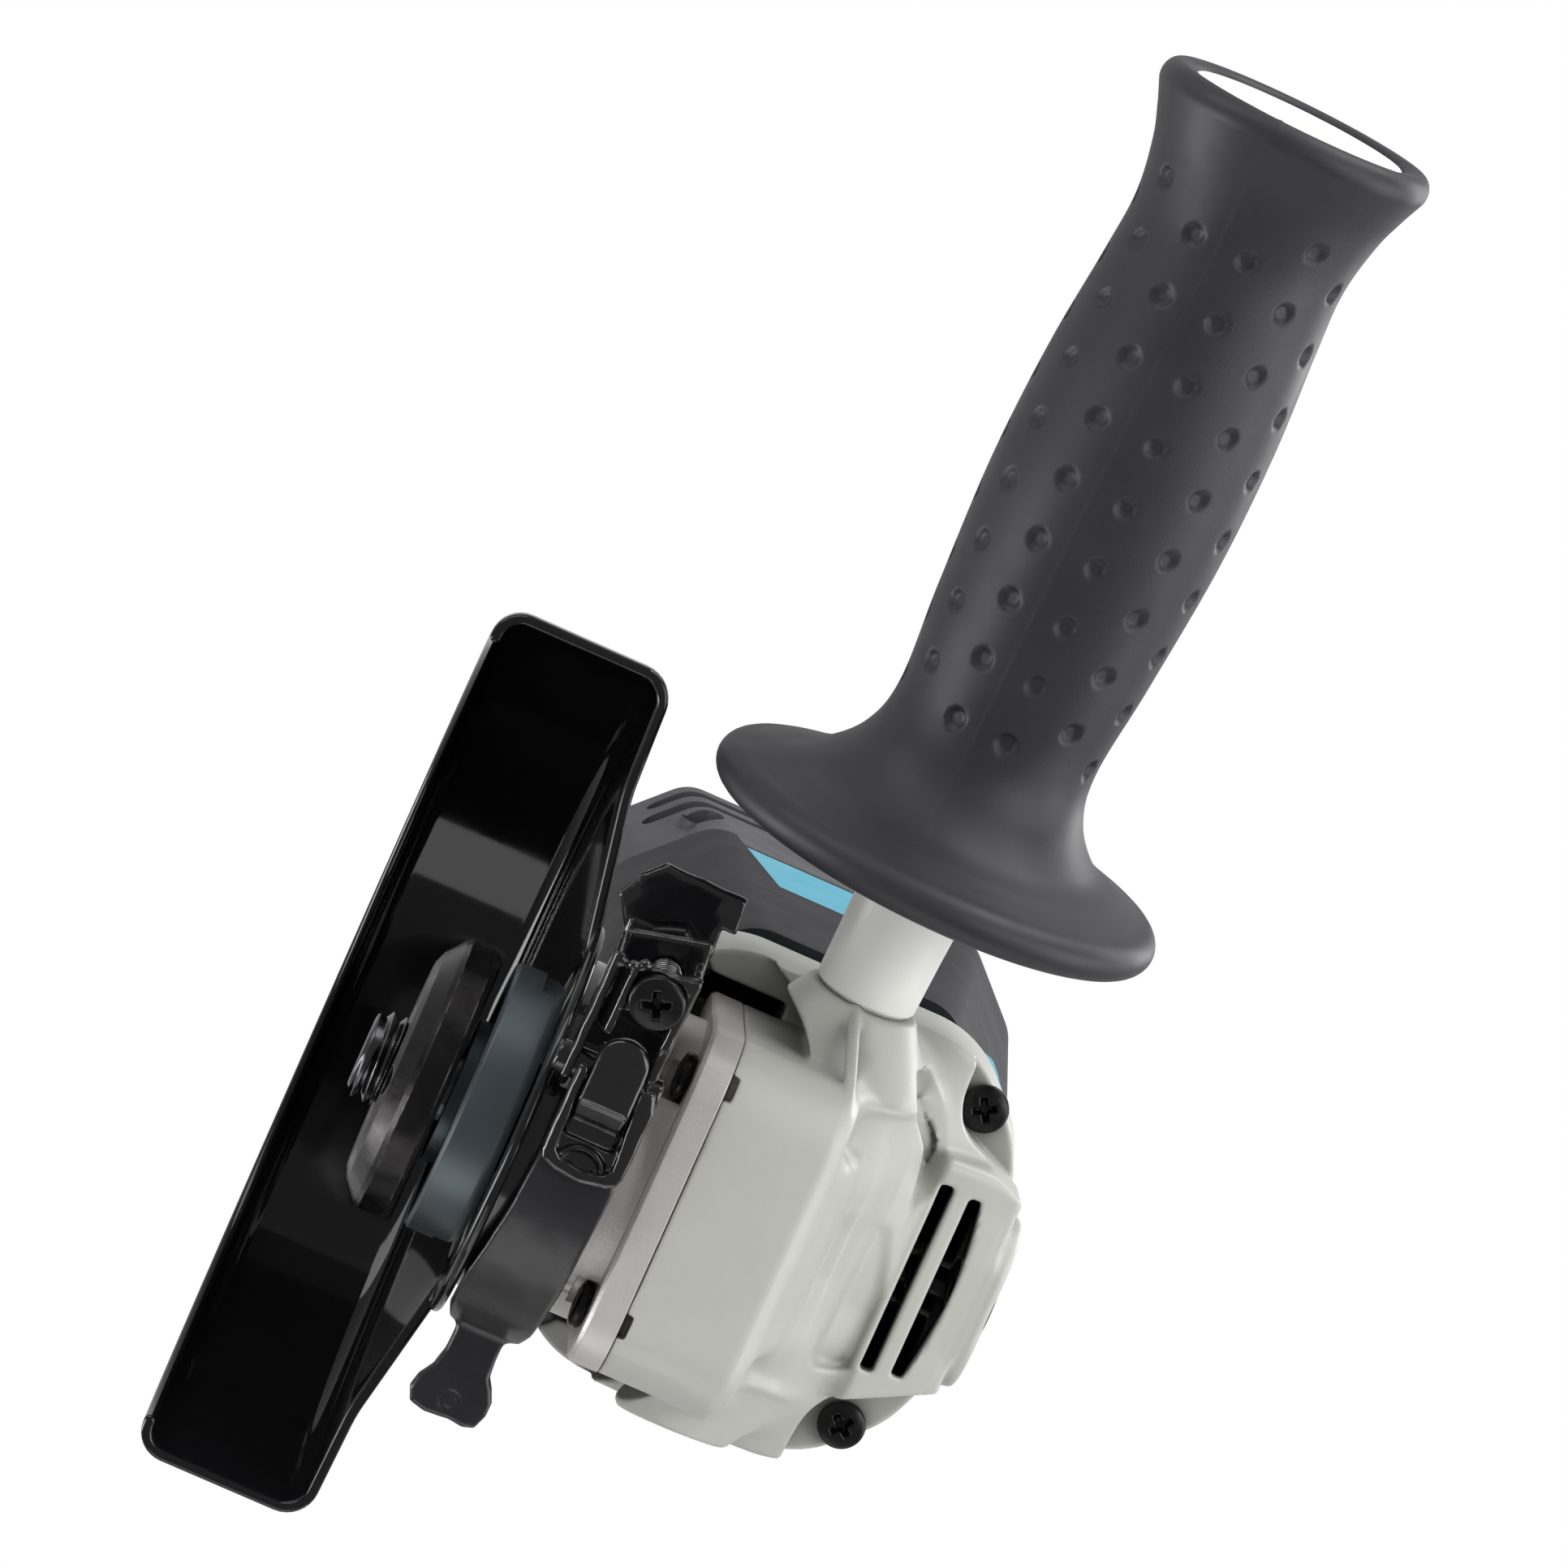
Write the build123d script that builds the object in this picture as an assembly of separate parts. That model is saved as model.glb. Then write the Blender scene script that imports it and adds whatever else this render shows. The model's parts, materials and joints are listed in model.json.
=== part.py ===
"""Angle grinder for 125 mm wheels, as an assembly of separate solids.

Frame: the origin is on the spindle axis, at the inner flange's clamping face. +Z runs up the
spindle into the gear housing, so the wheel side is -Z. +X is the nose, and -X runs back along
the motor to the cord inlet. The side handle stands on -Y. Millimetres throughout.
"""

from build123d import *
import os
from math import acos, atan2, cos, pi, radians, sin, sqrt, tan

os.makedirs("parts", exist_ok=True)

FIT = 0.02        # radial gap of pressed and seated pieces
RUNNING = 0.05    # radial gap of pieces that turn or slide on each other
GAP = 0.3         # space between neighbours that don't touch

# Spindle, flange and lock nut
spindle_thread_r = 7.0
thread_pitch_r = 6.35      # where the M14 x 2 flanks of two mating threads meet
spindle_tip_z = -15.7
spindle_shoulder_z = 8.2
spindle_shoulder_r = 8.6
spindle_journal_r = 7.5
gear_seat_r = 6.5
spindle_top_r = 4.5
spindle_top_z = 56.6
flange_r = 21.0
flange_spigot_r = 11.1
flange_spigot_depth = 1.6
nut_r = 21.3
nut_top_z = -2.6
nut_bottom_z = -11.0
nut_pin_hole_r = 2.6
nut_pin_circle_r = 15.0

# Bevel gears, whose pitch cones meet where the motor axis crosses the spindle axis
motor_z = 48.0
crown_teeth = 37
pinion_teeth = 10
crown_pitch_r = 22.0
tooth_length = 7.0
pinion_pitch_r = crown_pitch_r * pinion_teeth / crown_teeth
gear_module = 2 * crown_pitch_r / crown_teeth
pinion_cone = atan2(pinion_pitch_r, crown_pitch_r)
pressure_angle = radians(20)
backlash = 0.16
pinion_addendum = 1.15 * gear_module
pinion_dedendum = 0.78 * gear_module
crown_addendum = 0.5 * gear_module
crown_dedendum = 1.45 * gear_module
crown_seat_z = 34.8
crown_web_z = 42.0
lock_hole_circle_r = 12.0
lock_hole_r = 2.9
lock_holes = 7

# Bearing box, the plate and neck that carry the lower spindle bearing and the guard
box_plate_half = 26.4
box_plate_corner_r = 9.5
box_plate_bottom_z = 28.6
box_top_z = 33.4
box_neck_r = 24.0
box_neck_bottom_z = 9.2
box_screw_offset = 18.1
box_screw_r = 2.0
box_head_r = 3.6
lower_bearing = dict(bore_r=7.5, outer_r=17.5, width=11.0, start=20.0)

# Gear housing
head_cavity_r = 23.2
head_guard_clear_r = 28.5
head_rear_x = -36.0
head_bottom_z = 14.0
head_top_z = 82.4
nose_half_width = 15.5
vent_half_width = 20.0
head_screw_y = 26.2
head_screw_z = 25.0
head_screw_x = -20.5
head_screw_r = 2.2
handle_boss_y = 36.6       # the side handle's seat, from the mid plane
spare_boss_y = 33.2        # the spare socket's seat on the other side
boss_root_r = 13.2
boss_face_r = 8.6
upper_bearing_r = 7.6
upper_bearing_z = 50.4
upper_bearing_length = 6.5
air_chamber = ((-37.0, -5.6), 15.5, (67.0, 77.0))    # from and to in x, half width, from and to in z
air_slots = ((71.2, 15.2, 1.75), (75.4, 14.6, 2.8))  # middle height, half width, height

# Spindle lock
lock_x = -12.0
lock_pin_r = 2.2
lock_button_r = 6.0
lock_well_z = 77.6
lock_cap_z = 85.0
lock_travel = 4.0
lock_spring_z = 68.0
lock_spring_r = 3.3
lock_pad_z = 84.8
lock_cap_skin = 1.6
lock_post_r = 5.2

# Side handle
handle_x = -1.0
handle_lean_forward = radians(8)
handle_lean_up = radians(1.5)
handle_length = 142.8
handle_flange_s = 24.5
handle_flange_r = 35.0
handle_cup_r = 15.0
grip_start = 18.6
tube_r = 11.5
stud_r = 4.0
stud_depth = 10.0

# Guard and its clamp
guard_r = 68.0
guard_sheet = 1.7
guard_rim_z = -23.0
guard_plate_z = 4.6
guard_bend_r = 5.0
guard_lip = 5.0            # how far the rim is curled in, measured over the sheet
guard_lip_r = 4.6
collar_inner_r = box_neck_r + RUNNING
collar_sheet = 1.7
collar_bottom_z = 8.8
collar_top_z = 23.2
collar_gap_start = -42.0
collar_gap_end = -24.0
lever_pivot = (29.2, -15.5)
lever_inner_r = 28.6
lever_sheet = 2.4
lever_bottom_z = 12.2
lever_top_z = 21.8
lever_pin_r = 2.4

channel_front_x = 35.6
bracket_x = 12.6
bracket_sheet = 2.0
screw_y = -29.0
screw_z = 18.2
clamp_screw_r = 2.5

# Motor housing and rear grip
barrel_front_x = head_rear_x
barrel_rear_x = -128.0
barrel_half_width = (34.0, 36.0)
barrel_half_height = (32.5, 35.0)
barrel_corner = (17.0, 12.0)
barrel_round = 8.0
screw_lug_r = 3.4
screw_lug_x = -54.0
skin_sheet = 1.5
wall = 2.6
tail_x = -277.0
shell_screw_x = (-188.0, -244.0)
shell_screw_r = 1.8
gland_r = 9.4
cord_r = 4.5
slider_x = -184.0
slider_length = 22.0
slider_travel = 6.0

# Motor
stator_r = 29.0
stator_bore_r = 17.6
coil_y = 22.6
stator_front_x = -58.0
stator_rear_x = -98.0
rotor_r = 17.2
commutator_r = 10.5
commutator_front_x = -108.0
commutator_rear_x = -121.0
fan_r = 28.6
fan_front_x = -40.0
fan_rear_x = -49.0
front_bearing = dict(bore_r=6.0, outer_r=14.0, width=8.0, start=-35.0)
rear_bearing = dict(bore_r=4.0, outer_r=11.0, width=7.0, start=-133.0)

CLAMP_SCREW = Plane(origin=(0, screw_y, screw_z), x_dir=(0, 1, 0), z_dir=(1, 0, 0))
MOTOR = Plane(origin=(0, 0, motor_z), x_dir=(0, 1, 0), z_dir=(1, 0, 0))
HANDLE_DIR = Vector(sin(handle_lean_forward), -1, tan(handle_lean_up)).normalized()
HANDLE = Plane(origin=(handle_x, -handle_boss_y, motor_z), x_dir=(0, 0, 1), z_dir=HANDLE_DIR)
UP = (Align.CENTER, Align.CENTER, Align.MIN)


def save(name, part):
    export_step(part, f"parts/{name}.step")


def turned(points, axis=Axis.Z):
    """A solid turned about Z from (radius, height) points."""
    return revolve(Plane.XZ * Polygon(*points, align=None), axis)


def ring(outer_r, inner_r, height, start=0.0):
    return Pos(0, 0, start) * (Cylinder(outer_r, height, align=UP) - Cylinder(inner_r, height, align=UP))


def rod(radius, start, end):
    return Pos(0, 0, start) * Cylinder(radius, end - start, align=UP)


def ball_bearing(bore_r, outer_r, width, start):
    """Outer ring, inner ring and balls of a deep-groove bearing, about Z."""
    middle_r = (bore_r + outer_r) / 2
    ball_r = (outer_r - bore_r) * 0.27
    race = Pos(0, 0, start + width / 2) * Torus(middle_r, ball_r + 0.05)
    land = (outer_r - bore_r) * 0.2
    outer = ring(outer_r, middle_r + land / 2 + 0.6, width, start) - race
    inner = ring(middle_r - land / 2 - 0.6, bore_r + FIT, width, start) - race
    count = int(pi * middle_r / (ball_r * 1.25))
    balls = [Pos(0, 0, start + width / 2) * Rot(0, 0, 360 * k / count) * Pos(middle_r, 0, 0)
             * Sphere(ball_r) for k in range(count)]
    return outer, inner, Compound(children=balls)


def octagon(half_width, half_height, corner, radius):
    """A rounded octagon about the origin: a rectangle with its corners cut, then filleted."""
    w, h, c = half_width, half_height, corner
    points = [(w, h - c), (w - c, h), (-w + c, h), (-w, h - c),
              (-w, -h + c), (-w + c, -h), (w - c, -h), (w, -h + c)]
    outline = Polygon(*points, align=None)
    return fillet(outline.vertices(), radius)


def body_section(x, half_width, half_height, corner, radius):
    """One cross-section of the motor body, at x along the motor axis."""
    return MOTOR.offset(x) * octagon(half_width, half_height, corner, radius)


def body_loft(sections):
    return loft([body_section(*section) for section in sections], ruled=True)


# Spindle group

def make_spindle():
    thread_end_z = nut_bottom_z - GAP
    points = [(0, spindle_tip_z), (spindle_thread_r - 1.2, spindle_tip_z),
              (spindle_thread_r, spindle_tip_z + 1.2), (spindle_thread_r, thread_end_z),
              (thread_pitch_r, thread_end_z), (thread_pitch_r, spindle_shoulder_z),
              (spindle_shoulder_r, spindle_shoulder_z),
              (spindle_shoulder_r, lower_bearing["start"] - GAP),
              (spindle_journal_r, lower_bearing["start"] - GAP),
              (spindle_journal_r, crown_seat_z - 1.5), (gear_seat_r, crown_seat_z - 1.5),
              (gear_seat_r, crown_web_z + 1.0), (spindle_top_r, crown_web_z + 2.5),
              (spindle_top_r, spindle_top_z - 0.8), (spindle_top_r - 0.8, spindle_top_z),
              (0, spindle_top_z)]
    return turned(points)


def make_inner_flange():
    recess_r = 19.0
    points = [(thread_pitch_r + FIT, -flange_spigot_depth), (flange_spigot_r, -flange_spigot_depth),
              (flange_spigot_r, 0.6), (recess_r - 4, 0.6), (recess_r - 3, 0),
              (flange_r - 0.6, 0), (flange_r, 0.6), (flange_r, spindle_shoulder_z - 1.4),
              (flange_r - 1.4, spindle_shoulder_z), (thread_pitch_r + FIT, spindle_shoulder_z)]
    flange = turned(points)
    for side in (1, -1):
        flange -= Pos(0, side * (flange_r + 3.6), spindle_shoulder_z - 1.6) * Box(30, 10, 4)
    return flange


def make_lock_nut():
    points = [(thread_pitch_r + FIT, nut_bottom_z + 1.0), (spindle_thread_r + 2.6, nut_bottom_z),
              (nut_r - 5.2, nut_bottom_z), (nut_r - 3.4, nut_bottom_z + 0.7),
              (nut_r - 0.6, nut_bottom_z + 3.0), (nut_r, nut_bottom_z + 3.8),
              (nut_r, nut_top_z - 0.8), (nut_r - 0.8, nut_top_z),
              (14.0, nut_top_z), (13.2, nut_top_z - 0.8), (thread_pitch_r + FIT, nut_top_z - 0.8)]
    nut = turned(points)
    for side in (1, -1):
        nut -= Pos(side * nut_pin_circle_r, 0, nut_bottom_z - 1) * Cylinder(nut_pin_hole_r, 12, align=UP)
    return nut


def make_dust_ring():
    """Stepped labyrinth ring that turns with the spindle, under the lower bearing."""
    points = [(spindle_shoulder_r + FIT, 10.6), (20.0, 10.6), (20.0, 12.4), (15.0, 12.4),
              (15.0, 16.0), (spindle_shoulder_r + FIT, 16.0)]
    return turned(points)


# Bevel gears

def back_cone_point(offset):
    """Axial and radial distance from the cones' apex, offset out from the pinion's pitch cone."""
    axial = crown_pitch_r - offset * sin(pinion_cone)
    radial = pinion_pitch_r + offset * cos(pinion_cone)
    return axial, radial


def involute(angle):
    return tan(angle) - angle


def pinion_outline(scale):
    """Closed outline of the pinion's teeth in the plane of its large end, as (y, z) points."""
    virtual_r = pinion_pitch_r / cos(pinion_cone)
    base_r = virtual_r * cos(pressure_angle)
    root_r = virtual_r - pinion_dedendum
    tip_r = virtual_r + pinion_addendum
    thickness = (pi / 2 + 0.7 * tan(pressure_angle)) * gear_module - backlash / 2
    flank = []
    for step in range(6):
        r = root_r + (tip_r - root_r) * step / 5
        roll = involute(acos(base_r / r)) if r > base_r else 0.0
        half = (thickness / (2 * virtual_r) + involute(pressure_angle) - roll) / cos(pinion_cone)
        axial, radial = back_cone_point(r - virtual_r)
        flank.append((radial * crown_pitch_r / axial, half))
    points = []
    for tooth in range(pinion_teeth):
        middle = 2 * pi * (tooth + 0.5) / pinion_teeth - pi / 2
        points += [(r * scale, middle - half) for r, half in flank]
        points += [(r * scale, middle + half) for r, half in reversed(flank)]
    return [(r * cos(a), r * sin(a)) for r, a in points]


def make_pinion():
    toe = crown_pitch_r - tooth_length
    wires = []
    for distance in (crown_pitch_r, toe):
        outline = pinion_outline(distance / crown_pitch_r)
        wires.append(Wire.make_polygon([Vector(-distance, y, motor_z + z) for y, z in outline]))
    teeth = Part() + Solid.make_loft(wires, ruled=True)
    hub = MOTOR * rod(4.9, -27.0, -crown_pitch_r)
    return teeth + hub - MOTOR * rod(2.5 + FIT, -28.0, -toe + 1)


def make_crown_gear():
    toe_scale = (crown_pitch_r - tooth_length) / crown_pitch_r

    def from_apex(radius, offset, scale=1.0):
        """Radius and height of a point offset out from the crown's pitch cone at the large end."""
        r = radius + offset * sin(pinion_cone)
        z = motor_z - pinion_pitch_r + offset * cos(pinion_cone)
        return r * scale, motor_z - (motor_z - z) * scale

    heel_r, heel_z = from_apex(crown_pitch_r, -crown_dedendum)
    toe_r, toe_z = from_apex(crown_pitch_r, -crown_dedendum, toe_scale)
    blank = turned([(gear_seat_r + FIT, crown_seat_z), (12.0, crown_seat_z), (12.8, 36.4),
                    (heel_r - 0.8, 36.4), (heel_r, 37.2), (heel_r, heel_z), (toe_r, toe_z),
                    (toe_r - 0.2, crown_web_z), (gear_seat_r + FIT, crown_web_z)])
    half = (pi / 2 - 0.7 * tan(pressure_angle)) * gear_module / 2 - backlash / 4
    root = crown_dedendum + 0.3
    teeth = []
    for tooth in range(crown_teeth):
        wires = []
        for scale in (1.0, toe_scale):
            corners = []
            for offset in (-root, crown_addendum):
                r, z = from_apex(crown_pitch_r, offset, scale)
                width = (half - offset * tan(pressure_angle)) * scale
                corners.append((r, width, z))
            low, high = corners
            wires.append(Wire.make_polygon([Vector(low[0], -low[1], low[2]), Vector(low[0], low[1], low[2]),
                                            Vector(high[0], high[1], high[2]),
                                            Vector(high[0], -high[1], high[2])]))
        azimuth = 180 + 360 * tooth / crown_teeth
        teeth.append(Rot(0, 0, azimuth) * (Part() + Solid.make_loft(wires, ruled=True)))
    gear = blank + teeth
    for hole in range(lock_holes):
        gear -= (Rot(0, 0, 180 + 360 * hole / lock_holes) * Pos(lock_hole_circle_r, 0, 38.2)
                 * Cylinder(lock_hole_r, 10, align=UP))
    return gear


# Bearing box

def screw_places():
    corners = [(x, y) for x in (-1, 1) for y in (-1, 1)]
    return [Pos(x * box_screw_offset, y * box_screw_offset, 0) for x, y in corners]


def column(start, end, inset=0.0):
    """A rounded square column about the spindle axis, the form of the head's lower front."""
    side = 2 * (box_plate_half - inset)
    outline = RectangleRounded(side, side, box_plate_corner_r - inset)
    return extrude(Plane.XY.offset(start) * outline, end - start)


def make_bearing_box():
    seat_r = lower_bearing["outer_r"] + FIT
    seat_z = lower_bearing["start"]
    spigot_r = head_cavity_r - RUNNING
    plate_z = box_plate_bottom_z
    points = [(9.4, 17.4), (seat_r - 2.5, 17.4), (seat_r - 2.5, 15.0), (20.6, 15.0),
              (20.6, box_neck_bottom_z), (box_neck_r, box_neck_bottom_z), (box_neck_r, plate_z + 1),
              (spigot_r, plate_z + 1), (spigot_r, box_top_z + 1.0), (seat_r, box_top_z + 1.0),
              (seat_r, seat_z), (9.4, seat_z)]
    plate = column(plate_z, box_top_z) - rod(box_neck_r - 1, plate_z - 1, box_top_z + 1)
    rim = plate.faces().sort_by(Axis.Z)[0].outer_wire().edges()
    box = turned(points) + chamfer(rim, 0.6)
    for place in screw_places():
        box -= place * rod(box_screw_r + GAP, plate_z - 5, box_top_z + 5)
        box -= place * rod(box_head_r + 0.5, plate_z - 3.2, plate_z)
    return box


def pan_head(radius, height):
    """A pan head on the plane z = 0, reaching up, with a cross recess."""
    head = Cylinder(radius, height, align=UP)
    head = fillet(head.faces().sort_by(Axis.Z)[-1].edges(), height * 0.45)
    for turn in (0, 90):
        head -= Rot(0, 0, turn) * Pos(0, 0, height) * Box(radius * 1.1, radius * 0.26, height * 0.9)
    return head


def make_box_screws():
    head = Rot(180, 0, 0) * pan_head(box_head_r, 2.4)
    screw = Pos(0, 0, box_plate_bottom_z) * head
    screw += rod(box_screw_r, box_plate_bottom_z, box_top_z + 9)
    return Compound(children=[place * screw for place in screw_places()])


# Gear housing

def head_screw_points():
    return [(y, motor_z + z) for z in (head_screw_z, -head_screw_z) for y in (-head_screw_y, head_screw_y)]


def head_outline(half_width, bottom, top, corner, radius):
    """A rounded octagon between two heights, for cuts across the gear housing."""
    middle = (bottom + top) / 2 - motor_z
    return Pos(0, middle) * octagon(half_width, (top - bottom) / 2, corner, radius)


def head_body():
    """The outer form: rear flange, shoulders that narrow to the nose, vent block and square front."""
    rear = loft([MOTOR.offset(head_rear_x) * head_outline(34.5, head_bottom_z, head_top_z, 13, 8),
                 MOTOR.offset(-13) * head_outline(34.0, 15.5, 81.2, 13, 8)], ruled=True)
    shoulders = loft([MOTOR.offset(-13) * head_outline(33.6, 30.0, 78.0, 11, 7),
                      MOTOR.offset(4) * head_outline(31.5, 35.0, 62.5, 8, 5)], ruled=True)
    steps = Polygon((-30, box_top_z), (-30, head_top_z - 2), (-5.0, head_top_z - 2), (-1.0, 66.6),
                    (0.6, 62.8), (3.0, 61.8), (8.0, 59.6), (9.5, 57.4), (15.5, 55.8), (19.5, 53.8),
                    (23.8, 52.6), (box_plate_half, 50.2), (box_plate_half, box_top_z), align=None)
    nose = extrude(Plane.XZ * steps, nose_half_width, both=True)
    vent_side = Polygon((-30, 58), (-30, head_top_z), (-5.0, head_top_z), (-1.6, 69.8), (-7.0, 58),
                        align=None)
    vents = extrude(Plane.XZ * vent_side, vent_half_width, both=True)
    vents = chamfer(vents.edges().filter_by(Axis.X).group_by(Axis.Z)[-1], 2.5)
    front = column(box_top_z, 52.4)
    front = fillet(front.faces().sort_by(Axis.Z)[-1].edges(), 2.4)
    return rear + shoulders + nose + vents + front


def handle_plane(side):
    """The side handle's seat: side -1 is where it stands, and +1 the spare socket's mirror."""
    direction = Vector(HANDLE_DIR.X, -side * HANDLE_DIR.Y, HANDLE_DIR.Z)
    seat_y = handle_boss_y if side < 0 else spare_boss_y
    return Plane(origin=(handle_x, side * seat_y, motor_z), x_dir=(0, 0, 1), z_dir=direction)


def screw_corner(side):
    """The open corner round an upper housing screw's head, from its floor forwards."""
    lean = 0.45
    reach = 20.0
    inner = (-3.9, -4.6)
    outline = Polygon((reach, inner[1]), inner, (inner[0] - lean * (reach - inner[1]), reach), (reach, reach),
                      align=None)
    corner = outline.vertices().sort_by_distance((*inner, 0))[0]
    outline = fillet(corner, 4.4)
    if side < 0:
        outline = mirror(outline, Plane.YZ)
    place = Plane(origin=(head_screw_x, side * head_screw_y, motor_z + head_screw_z), x_dir=(0, 1, 0),
                  z_dir=(1, 0, 0))
    return place * extrude(outline, 30, dir=(0, 0, 1))


def lock_pad():
    """Raised pad round the lock button, rounded in plan, with a bevelled rim."""
    outline = Pos(-15.3, 0) * RectangleRounded(21.0, 27.0, 8.5)
    pad = extrude(Plane.XY.offset(head_top_z - 2) * outline, lock_pad_z - head_top_z + 2)
    return chamfer(pad.faces().sort_by(Axis.Z)[-1].edges(), 0.8)


def make_gear_housing():
    head = head_body() + lock_pad()
    for side in (-1, 1):
        boss = turned([(0, -20), (boss_root_r, -20), (boss_root_r, -14), (boss_face_r, 0), (0, 0)])
        head += handle_plane(side) * boss
    # Room for the guard's collar and its clamp below the bearing box plate
    head -= rod(head_guard_clear_r, 0, box_top_z)
    head -= column(0, box_top_z, -GAP)
    # Gear chamber, pinion tunnel and bearing seats
    head -= rod(head_cavity_r, box_top_z - 3, 46.5)
    head -= rod(16.5, 46, 50.2)
    head -= rod(upper_bearing_r + FIT, 50, upper_bearing_z + upper_bearing_length + GAP)
    head -= MOTOR * rod(9.0, -28, -10)
    head -= MOTOR * rod(front_bearing["outer_r"] + FIT, front_bearing["start"],
                        front_bearing["start"] + front_bearing["width"] + GAP)
    head -= MOTOR * rod(12.0, head_rear_x - 1, front_bearing["start"] + 1)
    # Air chamber above, round the lock's post and behind the two front slots
    (back_x, front_x), half_width, (low_z, high_z) = air_chamber
    chamber = Pos((back_x + front_x) / 2, 0, (low_z + high_z) / 2) \
        * Box(front_x - back_x, 2 * half_width, high_z - low_z)
    head -= chamber - rod_at(lock_x, 0, lock_post_r, low_z - 1, high_z + 1)
    for middle_z, slot_half_width, height in air_slots:
        head -= Pos(0, 0, middle_z) * Box(2 * -front_x + 0.6, 2 * slot_half_width, height)
    # Lock button's well, spring seat and pin bore
    head -= rod_at(lock_x, 0, lock_button_r + RUNNING, lock_well_z, 90)
    head -= rod_at(lock_x, 0, lock_spring_r + 1.0, lock_spring_z, 90)
    head -= rod_at(lock_x, 0, lock_pin_r + RUNNING, 43, 90)
    # Scooped pockets on the wheel side, with an air outlet in each
    for side in (1, -1):
        scoop = MOTOR * (Pos(side * 20, 28 - motor_z, -19) * Cylinder(17.5, 60, align=UP))
        scoop -= column(20, 60, -1.0)
        scoop -= Pos(0, 0, 70) * Box(200, 200, 50)
        scoop -= Pos(0, 0, 40) * Box(200, 50, 80)
        head -= scoop
        head -= Pos(-28, side * 28.5, 33) * Box(20, 4.6, 11)
    # Screw holes, the open corners of the upper heads and the counterbores of the lower ones
    for y, z in head_screw_points():
        hole = Plane(origin=(0, y, z), x_dir=(0, 1, 0), z_dir=(1, 0, 0))
        head -= hole * rod(head_screw_r + GAP, head_rear_x - 1, 10)
        head -= screw_corner(1 if y > 0 else -1) if z > motor_z else hole * rod(5.0, head_screw_x, 20)
    # Threaded sockets for the side handle and the bearing box screws
    for side in (-1, 1):
        head -= handle_plane(side) * rod(stud_r + FIT, -stud_depth, 1)
    for place in screw_places():
        head -= place * rod(box_screw_r + FIT, box_top_z - 1, box_top_z + 9.5)
    return head


def make_head_screws():
    """Four long screws from the head's corners into the motor housing."""
    length = 32.0
    screw = pan_head(3.7, 2.6) + rod(head_screw_r, -length, 0.1)
    places = [Plane(origin=(head_screw_x, y, z), x_dir=(0, 1, 0), z_dir=(1, 0, 0))
              for y, z in head_screw_points()]
    return Compound(children=[place * screw for place in places])


def make_upper_bearing():
    """Needle bearing's drawn cup in the roof of the head."""
    return ring(upper_bearing_r, spindle_top_r + RUNNING, upper_bearing_length, upper_bearing_z)


def make_lock_button():
    """Cap of the spindle lock, guided in its well, with a shallow dished top."""
    cap = rod_at(lock_x, 0, lock_button_r, lock_well_z + lock_travel + GAP, lock_cap_z)
    cap = fillet(cap.faces().sort_by(Axis.Z)[-1].edges(), 0.6)
    cap -= Pos(lock_x, 0, lock_cap_z + 27.6) * Sphere(28)
    return cap - rod_at(lock_x, 0, lock_pin_r + FIT, 70, lock_cap_z - lock_cap_skin)


def make_lock_pin():
    pin = rod_at(lock_x, 0, lock_pin_r, 43.2, lock_cap_z - lock_cap_skin)
    return chamfer(pin.faces().sort_by(Axis.Z)[0].edges(), 0.5)


def make_lock_spring():
    start = lock_spring_z + 0.5
    end = lock_well_z + lock_travel + GAP - 0.4
    path = Helix(pitch=(end - start) / 4, height=end - start, radius=lock_spring_r)
    section = Plane(origin=path @ 0, z_dir=path % 0) * Circle(0.4)
    return Pos(lock_x, 0, start) * sweep(section, path=path)


def rod_at(x, y, radius, start, end):
    return Pos(x, y, start) * Cylinder(radius, end - start, align=UP)


# Side handle, built along its own axis from the seat on the gear housing

def make_handle_core():
    """White moulded core: the neck, a tube inside the grip, and the open cup at the tip."""
    cup_floor = handle_length - 16.0
    rim = handle_length - 0.8
    points = [(0, 24), (stud_r + FIT, 24), (stud_r + FIT, 0), (7.6, 0), (8.0, grip_start),
              (14, grip_start), (14, 24), (tube_r, 26), (tube_r, handle_length - 28), (14.2, cup_floor),
              (16.4, handle_length - 8), (16.4, rim - 0.6), (15.8, rim),
              (handle_cup_r - 0.2, rim), (handle_cup_r - 2.4, cup_floor + 2.0), (0, cup_floor + 2.0)]
    core = turned(points)
    for rib in range(4):
        web = Rot(0, 0, 90 * rib) * Pos(handle_cup_r - 1.2, 0, cup_floor + 8)
        core += web * Box(1.4, 1.2, 12.4)
    return HANDLE * core


def make_handle_grip():
    """Soft grip: the hand guard disc, the swelling barrel and the flared tip."""
    start = grip_start
    rim_low, rim_high = (31.8, handle_flange_s - 3.2), (31.8, handle_flange_s + 3.0)
    lip_low = (19.4, handle_length - 6.5)
    outline = (Line((0, start), (14, start)) + Line((14, start), rim_low)
               + ThreePointArc(rim_low, (handle_flange_r, handle_flange_s), rim_high)
               + Spline(rim_high, (22.0, 31.7), (17.4, 37.2), (15.7, 45.0), (16.9, 60.0), (18.1, 80.0),
                        (17.9, 98.0), (16.7, 114.0), (16.3, 123.0), lip_low)
               + ThreePointArc(lip_low, (20.8, handle_length - 2.4), (18.6, handle_length))
               + Line((18.6, handle_length), (16.4, handle_length - 0.6))
               + Line((16.4, handle_length - 0.6), (0, handle_length - 0.6))
               + Line((0, handle_length - 0.6), (0, start)))
    grip = revolve(Plane.XZ * make_face(outline), Axis.Z)
    core_space = turned([(0, 0), (14, 0), (14, 24), (tube_r, 26), (tube_r, handle_length - 28),
                         (14.2, handle_length - 16), (16.4, handle_length - 8),
                         (16.4, handle_length + 2), (0, handle_length + 2)])
    return HANDLE * (grip - core_space)


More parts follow.
